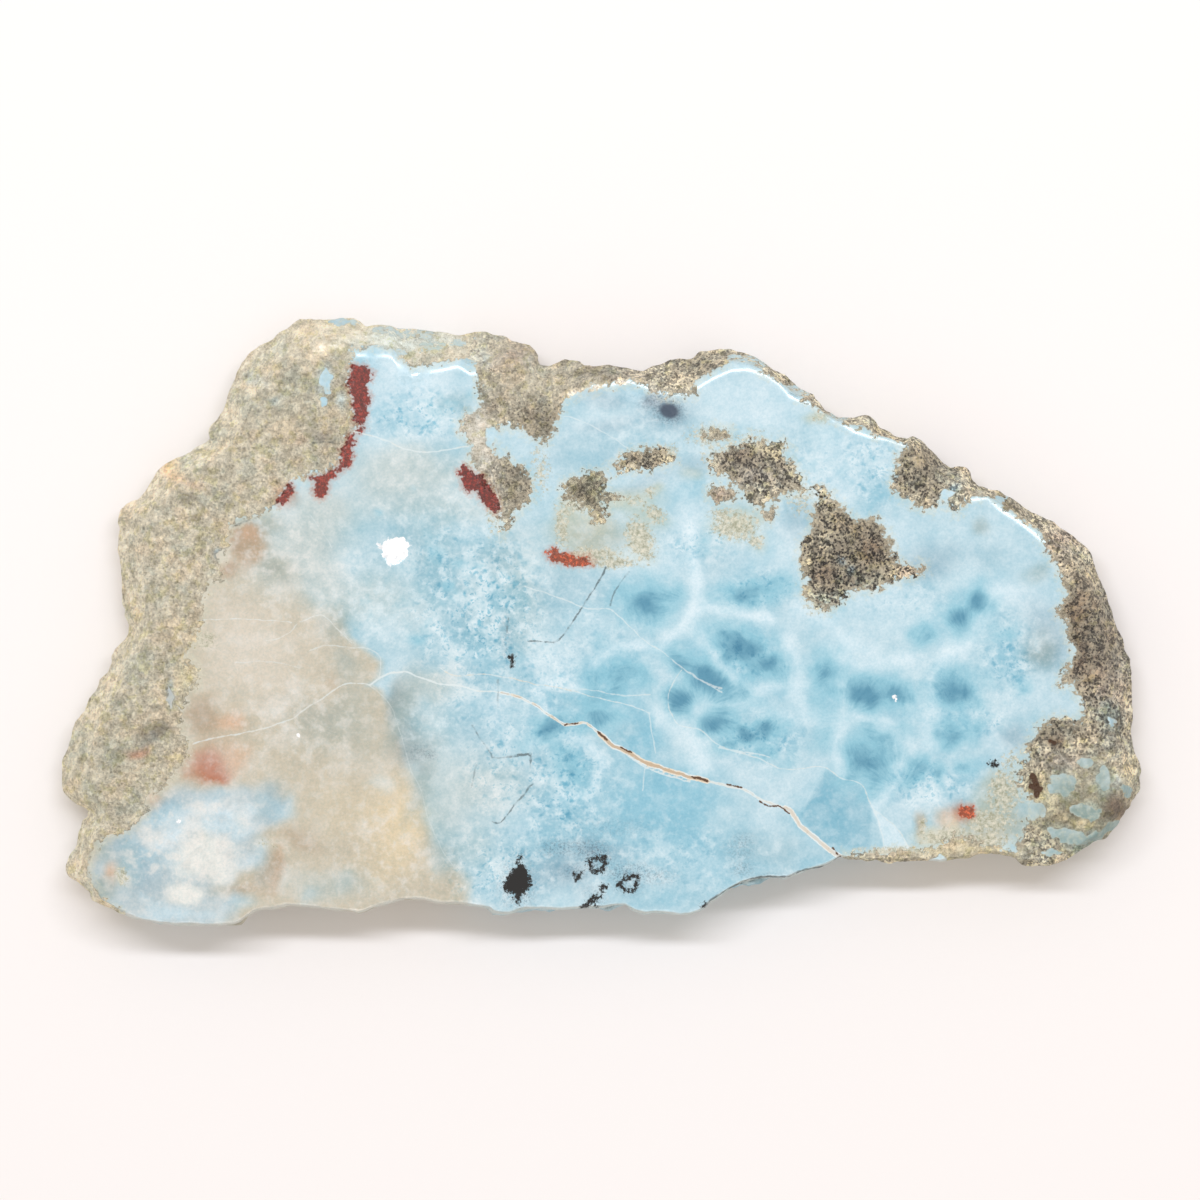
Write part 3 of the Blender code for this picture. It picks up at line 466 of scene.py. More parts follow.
    ("verdigris", 1085, 805, 60, 70, 0, 1.0), ("mist", 1104, 778, 14, 16, 0, 0.8),
    ("mist", 1062, 780, 14, 10, 0, 0.4), ("pearl", 1040, 812, 12, 10, 0, 0.6),
    ("slate", 170, 697, 12, 22, 0, 0.8), ("haze", 326, 385, 16, 26, 0, 0.7),
    ("steel", 275, 800, 14, 16, 0, 0.4), ("haze", 164, 812, 20, 8, 25, 0.6),
    ("haze", 130, 858, 12, 24, 15, 0.7), ("sage", 100, 890, 14, 16, 0, 0.8),
    ("sage", 104, 850, 8, 14, 20, 0.6), ("chalk", 214, 858, 10, 26, 4, 0.9),
    ("chalk", 184, 895, 17, 9, 8, 1.0), ("chalk", 196, 860, 20, 13, -30, 0.8),
    ("chalk", 232, 872, 8, 12, 0, 0.5), ("white", 232, 812, 24, 8, -20, 0.6),
    ("haze", 222, 796, 14, 6, 10, 0.6), ("sage", 240, 812, 4, 14, 4, 0.7),
    ("sage", 214, 846, 2.5, 12, 6, 0.6), ("sage", 206, 868, 2.5, 14, 0, 0.5),
    ("beige", 206, 838, 8, 6, 0, 0.5), ("haze", 262, 868, 8, 16, 10, 0.7),
    ("taupe", 276, 872, 5, 18, -6, 0.7), ("taupe", 245, 892, 18, 6, 0, 0.5),
    ("gold", 400, 818, 18, 34, 20, 0.5), ("gold", 412, 838, 14, 16, 0, 0.5),
    ("white", 380, 782, 14, 8, -20, 0.4), ("white", 440, 862, 10, 12, 0, 0.4),
    ("mist", 460, 780, 24, 30, 20, 0.5), ("pearl", 480, 790, 30, 40, 0, 0.4),
    ("white", 392, 372, 14, 12, 0, 0.5), ("white", 400, 440, 30, 10, 0, 0.5),
    ("white", 440, 380, 16, 8, 0, 0.4), ("pearl", 320, 505, 30, 24, 0, 0.7),
    ("pearl", 420, 470, 60, 24, 0, 0.5), ("pearl", 520, 560, 30, 40, 0, 0.3),
    ("white", 694, 560, 12, 40, 0, 0.4), ("white", 660, 625, 24, 12, -30, 0.4),
    ("white", 672, 668, 10, 12, 0, 0.4), ("white", 960, 652, 20, 12, -30, 0.4),
    ("white", 745, 690, 20, 8, 0, 0.4), ("white", 900, 660, 40, 8, 0, 0.3),
    ("tawny", 212, 762, 28, 20, 0, 0.95), ("rust", 204, 764, 17, 13, 0, 0.85),
    ("rust", 221, 777, 8, 6, 0, 0.8), ("peach", 236, 758, 16, 13, 0, 0.6),
    ("ice", 692, 610, 16, 10, 0, 0.5), ("blue", 622, 676, 40, 22, 0, 0.5),
    ("blue", 600, 708, 40, 16, 10, 0.6), ("sea", 560, 560, 16, 30, 0, 0.3),
    ("sea", 484, 622, 26, 30, 0, 0.75), ("sea", 455, 406, 22, 14, 0, 0.9),
    ("haze", 706, 556, 26, 20, 0, 0.6), ("sea", 566, 716, 24, 12, 15, 0.7),
    ("blue", 606, 832, 40, 26, -10, 0.6), ("steel", 560, 872, 34, 20, 0, 0.8),
    ("steel", 600, 850, 40, 16, -10, 0.5), ("sea", 500, 562, 22, 20, 0, 0.8),
    ("steel", 930, 562, 30, 18, 20, 0.7), ("steel", 1040, 640, 18, 34, 0, 0.6),
    ("sage", 1040, 650, 12, 18, 0, 0.5), ("verdigris", 1100, 782, 16, 24, 0, 0.7),
    ("sage", 1000, 800, 22, 24, 0, 0.5), ("lichen", 990, 826, 26, 14, 0, 0.6),
    ("haze", 500, 790, 20, 14, 0, 0.5), ("fog", 235, 803, 30, 12, 0, 0.8),
    ("sage", 128, 862, 12, 22, 10, 0.6), ("taupe", 268, 872, 14, 14, 0, 0.8),
    ("lichen", 340, 882, 30, 14, 0, 0.5), ("rust", 216, 770, 16, 10, 0, 0.9),
    ("tawny", 250, 546, 16, 22, 0, 0.8), ("rust", 240, 540, 8, 12, 0, 0.35),
    ("lichen", 282, 572, 18, 14, -20, 0.6), ("sage", 445, 855, 12, 20, 20, 0.5),
    ("sea", 620, 735, 24, 10, 20, 0.4), ("sea", 770, 850, 30, 16, 0, 0.3),
    ("taupe", 244, 544, 14, 22, 0, 0.9), ("peach", 250, 530, 8, 8, 0, 0.6),
    ("taupe", 228, 572, 9, 8, 0, 0.8), ("white", 640, 566, 30, 10, -30, 0.4),
    ("white", 690, 512, 14, 24, 0, 0.4), ("blue", 480, 640, 16, 30, 0, 0.4),
    ("sea", 520, 640, 14, 20, 0, 0.5), ("blue", 500, 600, 20, 14, 0, 0.5),
    ("white", 470, 660, 18, 8, 0, 0.4), ("sea", 470, 590, 20, 12, -30, 0.5),
    ("sea", 436, 552, 12, 18, 0, 0.5), ("mist", 370, 590, 30, 30, 0, 0.6),
    ("mist", 400, 610, 40, 30, 0, 0.5), ("white", 470, 530, 30, 16, 0, 0.4),
    ("mist", 440, 510, 50, 20, 0, 0.5), ("white", 390, 630, 24, 10, 0, 0.4),
    ("mist", 520, 600, 20, 40, 0, 0.4), ("pearl", 430, 730, 26, 40, -20, 0.4),
    ("sage", 398, 715, 11, 40, -20, 0.6), ("sage", 424, 785, 10, 44, -25, 0.5),
    ("chalk", 204, 858, 30, 18, -25, 0.75), ("chalk", 184, 894, 18, 9, 8, 0.9),
    ("white", 190, 826, 34, 10, -10, 0.6), ("white", 236, 826, 20, 12, 0, 0.5),
    ("cream", 300, 650, 50, 40, 0, 0.35), ("cream", 240, 620, 36, 30, 0, 0.5),
    ("white", 350, 560, 16, 10, 0, 0.35), ("white", 420, 520, 20, 8, 0, 0.35),
)

# Soft white ridges between the cells: half width in pixels, strength, then the line
RIDGES = (
    (6, 0.8, ((690, 530), (692, 560), (694, 596), (698, 608))),
    (4.5, 0.75, ((694, 604), (715, 609), (735, 614), (752, 618), (770, 623))),
    (5, 0.75, ((696, 604), (684, 622), (664, 646))),
    (5, 0.7, ((598, 660), (612, 652), (637, 648), (662, 648))),
    (6, 0.8, ((692, 630), (702, 640), (713, 652), (722, 664), (736, 685), (748, 698))),
    (5, 0.6, ((736, 688), (756, 690), (775, 686), (793, 683), (806, 688))),
    (5, 0.6, ((700, 712), (706, 700), (722, 696), (740, 700))),
    (4, 0.5, ((698, 716), (694, 728), (700, 742))),
    (7, 0.75, ((967, 638), (955, 650), (940, 668), (932, 690), (931, 717), (933, 743))),
    (7, 0.55, ((967, 638), (978, 620), (990, 600), (1010, 590))),
    (6, 0.7, ((842, 722), (848, 712), (860, 710), (880, 716), (892, 730), (899, 748),
              (900, 770), (892, 790), (876, 800))),
    (6, 0.7, ((842, 722), (838, 738), (838, 760), (842, 776))),
    (6, 0.6, ((790, 640), (800, 665), (792, 690), (800, 712), (820, 722), (840, 722))),
    (6, 0.55, ((846, 640), (848, 670), (842, 700))),
    (7, 0.6, ((655, 712), (680, 724), (694, 745), (700, 770))),
    (6, 0.6, ((585, 690), (560, 675), (540, 690), (545, 712), (575, 716))),
    (5, 0.6, ((533, 745), (560, 738), (590, 745), (605, 768), (592, 792), (560, 798))),
    (6, 0.5, ((905, 660), (880, 666), (860, 664), (830, 650))),
    (5, 0.5, ((915, 700), (912, 740), (918, 752))),
    (6, 0.5, ((800, 612), (822, 622), (846, 640), (870, 650))),
    (5, 0.5, ((757, 700), (768, 712), (790, 722))),
)

# The middles from which the stone's fibres spread
HUBS = (
    (694, 602), (967, 638), (842, 722), (700, 712), (592, 700), (905, 655), (790, 700),
    (655, 655), (550, 640), (440, 600), (900, 790), (600, 830), (700, 840), (820, 500),
    (560, 440), (420, 400), (400, 520), (480, 780), (1020, 740), (760, 420), (850, 620),
)

# Fragments with crisp edges between the healed cracks: tone, strength, outline
SHARDS = (
    ("ice", 0.85, ((640, 655), (665, 652), (690, 672), (672, 685), (667, 710), (656, 705),
                  (650, 680))),
    ("blue", 0.45, ((548, 716), (583, 723), (600, 733), (613, 746), (650, 764), (655, 716),
                    (625, 704), (580, 695), (545, 690))),
    ("blue", 0.5, ((655, 765), (645, 840), (705, 850), (707, 783))),
    ("ice", 0.55, ((717, 744), (745, 788), (800, 812), (822, 786), (826, 768), (784, 769),
                   (733, 751))),
    ("deep", 0.35, ((826, 770), (800, 815), (820, 842), (870, 850), (872, 808), (862, 785),
                    (839, 777))),
    ("white", 0.75, ((872, 808), (896, 827), (912, 850), (885, 852), (880, 830))),
    ("chalk", 0.75, ((205, 836), (215, 834), (219, 852), (221, 868), (229, 877), (221, 886),
                     (209, 876), (204, 858))),
    ("chalk", 0.85, ((166, 890), (178, 884), (196, 886), (204, 893), (199, 902), (184, 906),
                     (169, 900))),
    ("chalk", 0.6, ((174, 868), (188, 852), (203, 846), (205, 860), (192, 874), (178, 880))),
    ("chalk", 0.4, ((226, 838), (240, 846), (240, 872), (228, 868))),
    ("white", 0.5, ((150, 838), (176, 826), (192, 832), (172, 848), (152, 852))),
    ("white", 0.5, ((226, 806), (250, 800), (258, 812), (240, 824), (226, 818))),
    ("white", 0.4, ((196, 810), (216, 800), (222, 812), (206, 824))),
    ("haze", 0.5, ((258, 792), (280, 800), (284, 816), (268, 822), (256, 810))),
    ("haze", 0.4, ((120, 846), (138, 834), (146, 850), (138, 882), (124, 880))),
    ("ice", 0.5, ((136, 892), (160, 902), (196, 912), (230, 908), (226, 922), (150, 918))),
)

# Healed cracks: half width in mm, strength, warmth, then the line
VEINS = (
    (0.03, 0.5, 0.2, ((197, 620), (230, 619), (262, 620), (292, 622))),
    (0.03, 0.4, 0.2, ((235, 663), (262, 661), (285, 664), (300, 668))),
    (0.03, 0.4, 0.2, ((266, 641), (280, 638), (290, 632), (297, 624))),
    (0.06, 0.6, 0.3, ((193, 744), (215, 738), (240, 734), (268, 727), (293, 718), (305, 709),
                      (325, 697), (340, 686), (358, 683), (370, 685))),
    (0.1, 0.75, 0.2, ((370, 685), (385, 675), (405, 672), (420, 678), (440, 684), (460, 686),
                      (475, 690), (500, 692))),
    (0.18, 0.9, 0.7, ((500, 692), (520, 697), (530, 702), (540, 709), (550, 716), (560, 722),
                       (567, 725), (583, 723), (590, 726), (600, 733), (607, 740))),
    (0.36, 1.0, 0.9, ((600, 733), (607, 740), (613, 746), (628, 752), (645, 762), (665, 769),
                      (690, 777), (707, 781))),
    (0.18, 0.8, 0.3, ((707, 781), (730, 786), (745, 790), (762, 800), (778, 806),
                      (792, 812))),
    (0.34, 1.0, 0.4, ((786, 808), (792, 812), (800, 825), (815, 838), (830, 850),
                       (840, 857))),
    (0.06, 0.7, 0.0, ((625, 753), (645, 767), (668, 776), (690, 782))),
    (0.05, 0.6, 0.9, ((440, 668), (455, 676), (475, 674), (490, 675), (515, 679), (535, 684),
                     (560, 688), (580, 693))),
    (0.05, 0.6, 0.4, ((580, 693), (600, 699), (625, 704), (650, 713))),
    (0.05, 0.5, 0.2, ((562, 689), (590, 690), (620, 695), (650, 695))),
    (0.05, 0.55, 0.1, ((525, 586), (560, 598), (585, 608), (608, 609), (620, 617), (633, 630),
                      (645, 641), (660, 650), (675, 662), (700, 680), (722, 688))),
    (0.05, 0.55, 0.3, ((682, 670), (672, 685), (668, 702), (677, 723), (700, 730), (717, 744),
                       (733, 751), (757, 758), (784, 769), (823, 767), (839, 777), (862, 785),
                       (873, 808), (896, 827), (909, 848))),
    (0.06, 0.5, 0.0, ((649, 713), (655, 753))),
    (0.06, 0.5, 0.0, ((645, 765), (643, 791))),
    (0.06, 0.5, 0.0, ((873, 808), (880, 826), (886, 850))),
    (0.04, 0.5, 0.2, ((300, 622), (322, 615), (336, 628), (352, 643))),
    (0.04, 0.45, 0.2, ((310, 650), (330, 645), (352, 648), (366, 648), (379, 656), (379, 676),
                      (370, 685))),
    (0.03, 0.3, 0.0, ((310, 515), (320, 528), (332, 548))),
    (0.08, 0.6, 0.3, ((350, 431), (365, 434), (385, 440), (405, 449), (425, 452), (445, 450),
                      (468, 446))),
    (0.04, 0.5, 0.0, ((560, 416), (575, 418), (600, 430), (628, 448))),
    (0.03, 0.3, 0.2, ((370, 685), (390, 705), (401, 735), (410, 768), (420, 787), (427, 815),
                      (439, 843), (450, 862), (463, 877))),
    (0.04, 0.4, 0.5, ((490, 470), (500, 503), (498, 520), (500, 545))),
    (0.05, 0.6, 0.0, ((718, 748), (745, 752), (770, 757))),
    (0.05, 0.6, 0.0, ((690, 672), (705, 683), (722, 692))),
)

# Open parts of the main crack and small holes in the rock, painted dark brown as painted shade inside them, and the
# thin dark cracks: half width in mm, strength, line
SHADED_GAPS = (
    (0.12, ((598, 731), (607, 740))), (0.1, ((620, 747), (632, 752))),
    (0.17, ((692, 777), (700, 779), (707, 781))), (0.12, ((727, 784), (742, 788))),
    (0.1, ((760, 801), (768, 806), (778, 806), (790, 813))), (0.1, ((564, 725), (578, 723))),
    (0.12, ((833, 848), (840, 857))),
    (0.42, ((1032, 776), (1036, 784), (1037, 795))), (0.4, ((1031, 786), (1040, 789))),
    (0.25, ((1050, 741), (1055, 743))),
)
CHIP = ((378, 548), (376, 543), (382, 544), (386, 538), (391, 540), (394, 535), (398, 538),
        (403, 535), (405, 541), (410, 545), (406, 551), (408, 556), (402, 559), (400, 565),
        (394, 562), (390, 567), (387, 560), (382, 558), (384, 552))
CHIP_DEPTH = 0.3 * MM
# Small white spots painted as highlights where the face sparkles: x, y, radius in pixels. They join the chip's mask, so
# they take its white colour and roughness
PAINTED_GLINTS = ((180, 823, 3), (298, 736, 3), (895, 698, 3), (220, 680, 1.5))
CRACKS = (
    (0.07, 0.8, ((606, 567), (592, 593), (579, 612), (568, 628), (556, 641), (528, 641))),
    (0.06, 0.6, ((629, 572), (615, 591), (610, 605))),
    (0.08, 0.5, ((508, 618), (507, 633))),
    (0.14, 0.9, ((512, 655), (511, 667))),
    (0.06, 0.5, ((472, 725), (480, 738), (489, 751), (492, 758))),
    (0.12, 0.8, ((511, 757), (520, 755), (531, 754))),
    (0.08, 0.7, ((531, 754), (530, 768))),
    (0.06, 0.7, ((533, 784), (518, 801), (501, 822), (492, 822))),
    (0.05, 0.4, ((476, 765), (474, 776), (472, 787))),
    (0.09, 0.35, ((498, 680), (498, 706))),
    (0.06, 0.4, ((492, 758), (511, 757))),
    (0.09, 0.8, ((840, 857), (825, 866), (805, 870), (785, 876), (760, 877), (733, 886),
                 (712, 899), (703, 906))),
    (0.1, 0.5, ((312, 443), (325, 442), (335, 443))),
    # Painted shadow, not a crack: a thin dark line under the small ledge where the rock meets the blue stone
    (0.08, 0.45, ((232, 527), (243, 522), (256, 518))),
)

# Black dendrites: the solid ones' outlines, and the drawn ones' half widths in mm and lines
INK = (
    ((518, 862), (523, 865), (527, 871), (530, 876), (531, 882), (530, 889), (523, 893),
     (521, 898), (519, 904), (514, 901), (516, 894), (510, 893), (503, 891), (504, 884),
     (508, 876), (511, 872), (516, 867)),
    ((987, 763), (993, 760), (999, 763), (997, 767), (992, 766)),
    ((701, 904), (706, 903), (706, 908), (702, 908)),
)
INK_LINES = (
    (0.24, ((589, 861), (597, 858), (605, 857), (604, 864), (603, 870), (597, 872), (590, 868),
            (589, 861))),
    (0.3, ((602, 858), (605, 858), (605, 862))),
    (0.2, ((618, 885), (622, 881), (627, 877), (637, 875), (638, 881), (634, 891),
           (629, 892), (624, 889), (618, 885))),
    (0.34, ((618, 885), (622, 886))), (0.3, ((627, 877), (631, 877))),
    (0.2, ((575, 874), (579, 878))), (0.2, ((576, 880), (581, 873))),
    (0.16, ((607, 887), (600, 886), (603, 890), (600, 897), (596, 899), (593, 896))),
    (0.3, ((594, 897), (590, 902), (582, 908))), (0.2, ((594, 899), (596, 906))),
    (0.12, ((517, 863), (520, 858), (522, 855))),
    (0.1, ((508, 656), (513, 658), (512, 667))),
)


def smooth(values, low, high):
    """0 at low, 1 at high, with a soft start and end."""
    part = np.clip((values - low) / (high - low), 0, 1)
    return part * part * (3 - 2 * part)


def plan(pixels, height=THICKNESS):
    """The places in plan of what the photograph shows at pixels, at a height on the stone."""
    scale = PIXEL * (EYE_HEIGHT - height) / (EYE_HEIGHT - THICKNESS)
    seen = (np.asarray(pixels, float) - PHOTO_MIDDLE) * (1, -1)
    return seen * np.reshape(scale, (-1, 1)) - OUTLINE_CENTRE


def pixels_of(points):
    """Where the photograph shows each point of the stone."""
    scale = PIXEL * (EYE_HEIGHT - points[:, 2:]) / (EYE_HEIGHT - THICKNESS)
    return (points[:, :2] + OUTLINE_CENTRE) / scale * (1, -1) + PHOTO_MIDDLE


def noise_at(points, size, offset=0.0):
    """Smooth noise, about -1 to 1, at each point."""
    places = (np.asarray(points) / size + offset).tolist()
    return np.array([noise.noise(place) for place in places])


def solid(places, height=0.0):
    """Places in plan as points in space."""
    return np.column_stack((places, np.broadcast_to(height, len(places))))


def lumps(points, size=LUMP_SIZE):
    """Smooth noise from -1 to 1, with a finer part on a coarse one."""
    both = noise_at(points, size) + 0.5 * noise_at(points, size / FINE_LUMPS, FINE_OFFSET)
    return np.clip(LUMP_CONTRAST * both, -1, 1)


def runs_of(line):
    line = np.asarray(line, float)
    steps = np.hypot(*(line[1:] - line[:-1]).T)
    return line, np.concatenate(([0], np.cumsum(steps)))


def resampled(line, count, to_end=False):
    """Evenly spaced places along a line, up to the step before its last, or to its end."""
    line, along = runs_of(line)
    places = np.linspace(0, along[-1], count + (not to_end))[: count]
    return np.column_stack([np.interp(places, along, line[:, axis]) for axis in (0, 1)])


def refined(line, step=LINE_STEP_PIXELS):
    """A line with its places at most a step apart."""
    _, along = runs_of(line)
    return resampled(line, max(2, round(along[-1] / step) + 1), to_end=True)


def closed(outline):
    return list(outline) + [outline[0]]


def curved(line, step=LINE_STEP_PIXELS):
    """A smooth curve through a line's places, a little uneven, with places a step apart."""
    line = np.asarray(line, float)
    ends = np.vstack((2 * line[0] - line[1], line, 2 * line[-1] - line[-2]))
    places = []
    for before, start, end, after in zip(ends, ends[1:], ends[2:], ends[3:]):
        count = max(1, round(np.hypot(*(end - start)) / step))
        part = (np.arange(count) / count)[:, None]
        slope = end - before
        bend = 2 * before - 5 * start + 4 * end - after
        twist = 3 * start - before - 3 * end + after
        places.append((2 * start + slope * part + bend * part**2 + twist * part**3) / 2)
    return wander(np.vstack((*places, line[-1:])), 9, 1.1)


def distance_to(places, line, reach):
    """How far each place is from a line of places, up to a reach."""
    nearest = np.full(len(places), float(reach))
    line = np.asarray(line, float)
    near = ((places > line.min(0) - reach) & (places < line.max(0) + reach)).all(1)
    near = np.flatnonzero(near)
    close, best = places[near], nearest[near]
    for start, end in zip(line, line[1:]):
        run = end - start
        part = np.clip((close - start) @ run / (run @ run), 0, 1)
        best = np.minimum(best, np.hypot(*(close - start - part[:, None] * run).T))
    nearest[near] = best
    return nearest


def is_inside(places, outline):
    """Whether each place lies in a closed line, by how often a ray crosses it."""
    found = np.zeros(len(places), bool)
    x, y = places.T
    for (x0, y0), (x1, y1) in zip(outline, outline[1:] + outline[:1]):
        if y0 != y1:
            crosses = (y0 > y) != (y1 > y)
            found ^= crosses & (x < x0 + (x1 - x0) * (y - y0) / (y1 - y0))
    return found


def depth_in(places, outline, reach=30):
    """How deep each place is in a closed line, less than 0 outside it, up to a reach."""
    distance = distance_to(places, closed(outline), reach)
    return np.where(is_inside(places, tuple(outline)), distance, -distance)


def side_lines():
    """The outline cut at the starts of the sides."""
    starts = [OUTLINE.index(side[1]) for side in SIDES] + [len(OUTLINE)]
    ring = OUTLINE + OUTLINE[:1]
    return [ring[start : end + 1] for start, end in zip(starts, starts[1:])]


def outward_of(ring, reach=OUTWARD_REACH):
    """The way out of the stone at each station, smoothed over its neighbours."""
    along = np.roll(ring, -reach, 0) - np.roll(ring, reach, 0)
    along /= np.hypot(*along.T)[:, None]
    return np.column_stack((-along[:, 1], along[:, 0]))


def stations():
    """Matched places on the widest line and the face's edge, all round the stone."""
    rims, faces, heights, insets, natural = [], [], [], [], []
    for index, (_, _, height, inset, face) in enumerate(SIDES):
        _, _, next_height, next_inset, _ = SIDES[(index + 1) % len(SIDES)]
        line = side_lines()[index]
        count = max(3, round(runs_of(line)[1][-1] * PIXEL / STATION_STEP))
        part = np.arange(count) / count
        rims.append(resampled(line, count))
        faces.append(resampled(face, count) if face else np.full((count, 2), np.nan))
        heights.append((height + (next_height - height) * part) * MM)
        insets.append((inset + (next_inset - inset) * part) * MM)
        natural.append(np.full(count, face is not None))
    rims, faces = np.concatenate(rims), np.concatenate(faces)
    heights, insets = np.concatenate(heights), np.concatenate(insets)
    rim = plan(rims, heights)
    outward = outward_of(rim)
    face = plan(faces)
    bare = np.isnan(faces[:, 0])
    face[bare] = (plan(rims) - outward * LOWER_LIP)[bare]
    return rim, face, heights, insets, outward, np.concatenate(natural)


def matrix_depth(seen):
    """How deep each seen place is in the matrix rock in mm, and how far that rock lies back."""
    depth = np.full(len(seen), -30.0)
    recess = np.zeros(len(seen))
    for _, deep, _, outline in MATRIX:
        inside = depth_in(seen, outline)
        depth = np.maximum(depth, inside)
        ledge = smooth(inside * PIXEL_MM, 0.4, 0.4 + PATCH_LEDGE_MM)
        recess = np.maximum(recess, deep * MM * ledge)
    return depth * PIXEL_MM, recess * (1 - strongest(seen, GLOSSES))


def speck_share(seen, outside):
    """How dark and dense the matrix rock's specks are at each seen place."""
    share = np.full(len(seen), 0.25)
    for _, _, dark, outline in MATRIX:
        share = np.where(depth_in(seen, outline) > -6, dark, share)
    natural = smooth(seen[:, 0], 520, 700) * 0.65 + 0.25
    natural = np.minimum(natural, 0.75)
    share = np.where(outside > -1, np.maximum(natural, share * 0.9), share)
    return share * (1 - 0.8 * strongest(seen, SMOOTH_ROCK))


def face_height(places):
    """The polished face is flat, and the matrix in it lies lower, with lumps and pits."""
    points = solid(places, THICKNESS)
    _, recess = matrix_depth(pixels_of(points))
    relief = 1 + 0.6 * PATCH_RELIEF * lumps(points * (1, 1, 0), PATCH_LUMP_SIZE)
    relief += 0.8 * noise_at(points, 0.8 * MM)
    chip = smooth(depth_in(pixels_of(points), CHIP, 10), 0, 4) * CHIP_DEPTH
    return THICKNESS - recess * np.clip(relief, 0, 2) - chip


def lip_rings(rim, face):
    """The polished face's edge and the rounding outside it."""
    gap = np.hypot(*(rim - face).T)
    away = (rim - face) / gap[:, None]
    top = face_height(face)
    width = np.minimum(POLISH_WIDTH, gap / 2)
    rings = []
    for part in LIP_PARTS:
        reach = width * part
        rings.append(solid(face + away * reach[:, None], top - reach**2 / (2 * POLISH_RADIUS)))
    return rings


def wall_rings(rim, face, heights, insets, outward):
    """The stone's rings of points, from the face's edge over the rim to the back's edge."""
    rings = lip_rings(rim, face)
    shoulder = rings[-1]
    top = np.minimum(heights + LUMP_HEIGHT * lumps(solid(rim)), shoulder[:, 2] - LIP_CLEARANCE)
    rim = rim + outward * (RIM_ROUGHNESS * lumps(solid(rim), LUMP_SIZE / 2))[:, None]
    widest = solid(rim, top)
    out = solid(outward)
    gap = np.hypot(*(widest - shoulder)[:, :2].T)
    for part in SLOPE_PARTS:
        place = shoulder + (widest - shoulder) * part
        bump = lumps(place) * math.sin(math.pi * part) ** 0.5
        across = np.minimum(LUMP_HEIGHT, gap * SLOPE_SHIFT) * bump
        place = place + out * across[:, None]
        place[:, 2] += (top - shoulder[:, 2]) * SLOPE_LEDGE * bump
        rings.append(place)
    rings.append(widest)
    parts, levels = zip(*UNDERSIDE_LEVELS)
    for part in UNDERSIDE_PARTS:
        level = np.interp(part, parts, levels)
        place = solid(rim - outward * (insets * part)[:, None], top * level)
        bump = lumps(place)
        place = place + out * (insets * UNDERSIDE_SHIFT * bump)[:, None]
        place[:, 2] += top * UNDERSIDE_LEDGE * bump
        rings.append(place)
    ragged = 1 + BACK_EDGE_RAGGED * lumps(solid(rim), LUMP_SIZE / 2)
    rings.append(solid(rim - outward * (insets * ragged)[:, None], 0))
    return rings


def roughened(rings, outward):
    """Adds the rock's finer lumps to the slope and the underside."""
    last = len(rings) - 1
    start = len(LIP_PARTS) - 1
    out = solid(outward, 0.5)
    for index in range(start, last):
        fade = min(1, (index - start) / 3, (last - index) / 2)
        amount = sum(size * noise_at(rings[index], scale) for scale, size in GRAIN_LUMPS)
        rings[index] = rings[index] + out * (amount * fade)[:, None]
    return rings


def lattice(edge, step):
    """An even three-way grid of places inside an edge, with each place's row and column."""
    low, high = edge.min(0), edge.max(0)
    row_step = step * math.sqrt(3) / 2
    rows, columns = (int(size) + 2 for size in (high - low)[::-1] / (row_step, step))
    row, column = np.divmod(np.arange(rows * columns), columns)
    places = np.column_stack(((column + row % 2 / 2) * step, row * row_step)) + low
    keep = is_inside(places, tuple(map(tuple, edge)))
    return places[keep], row[keep], column[keep]


def face_places(edge):
    """Places for the face's net: close together in matrix rock, further apart elsewhere."""
    places, row, column = lattice(edge, FACE_STEP)
    seen = pixels_of(solid(places, THICKNESS))
    depth, _ = matrix_depth(seen)
    coarse = (row % 2 == 0) & ((column + row // 2 % 2) % 2 == 0)
    near_line = np.zeros(len(places), bool)
    too_near = np.zeros(len(places), bool)
    for line in fine_lines():
        away = distance_to(seen, line, 12)
        near_line |= away < 9
        too_near |= away < 0.8
    clear = distance_to(places, closed(edge.tolist()), 1 * MM) > FACE_STEP * 0.6
    return places[clear & ~too_near & (coarse | near_line | (depth > -0.3))]


def net(ring, places, lines):
    """Triangles between a ring of points and places inside it, along the given lines."""
    edge = ring[:, :2]
    corners = [tuple(place) for place in edge] + [tuple(place) for place in places]
    edges = [(index, (index + 1) % len(edge)) for index in range(len(edge))]
    for line in lines:
        start = len(corners)
        corners += [tuple(place) for place in line]
        edges += [(start + step, start + step + 1) for step in range(len(line) - 1)]
    corners = [Vector(corner) for corner in corners]
    found, _, faces, sources, _, _ = delaunay_2d_cdt(corners, edges, [], 1, 1e-7)
    on_ring = np.full(len(found), -1)
    for index, origins in enumerate(sources):
        for origin in origins:
            if origin < len(edge):
                on_ring[index] = origin
    return np.array([tuple(place) for place in found]), np.array(faces), on_ring


def section_lengths(rings):
    """How far along its section each ring's point lies past the lip, in mm."""
    steps = [np.linalg.norm(lower - upper, axis=1) for upper, lower in zip(rings, rings[1:])]
    along = np.cumsum([np.zeros(len(rings[0])), *steps], axis=0)
    return (along - along[len(LIP_PARTS) - 1]) / MM


def filled(ring, first_on_ring, places, lines, first_new, flip=False):
    """Triangles in a ring, by the numbers of the mesh's points, and the new places."""
    found, triangles, on_ring = net(ring, places, lines)
    made = on_ring + first_on_ring
    new = np.flatnonzero(on_ring < 0)
    made[new] = first_new + np.arange(len(new))
    triangles = made[triangles]
    return triangles[:, ::-1] if flip else triangles, found[new]


def face_lines(edge):
    """The fine lines, cut off where they near the face's edge."""
    kept = []
    for line in fine_lines():
        places = plan(line)
        clear = is_inside(places, tuple(map(tuple, edge)))
        clear &= distance_to(places, closed(edge.tolist()), 1 * MM) > FACE_STEP
        if clear.sum() > 1:
            kept.append(places[clear])
    return kept


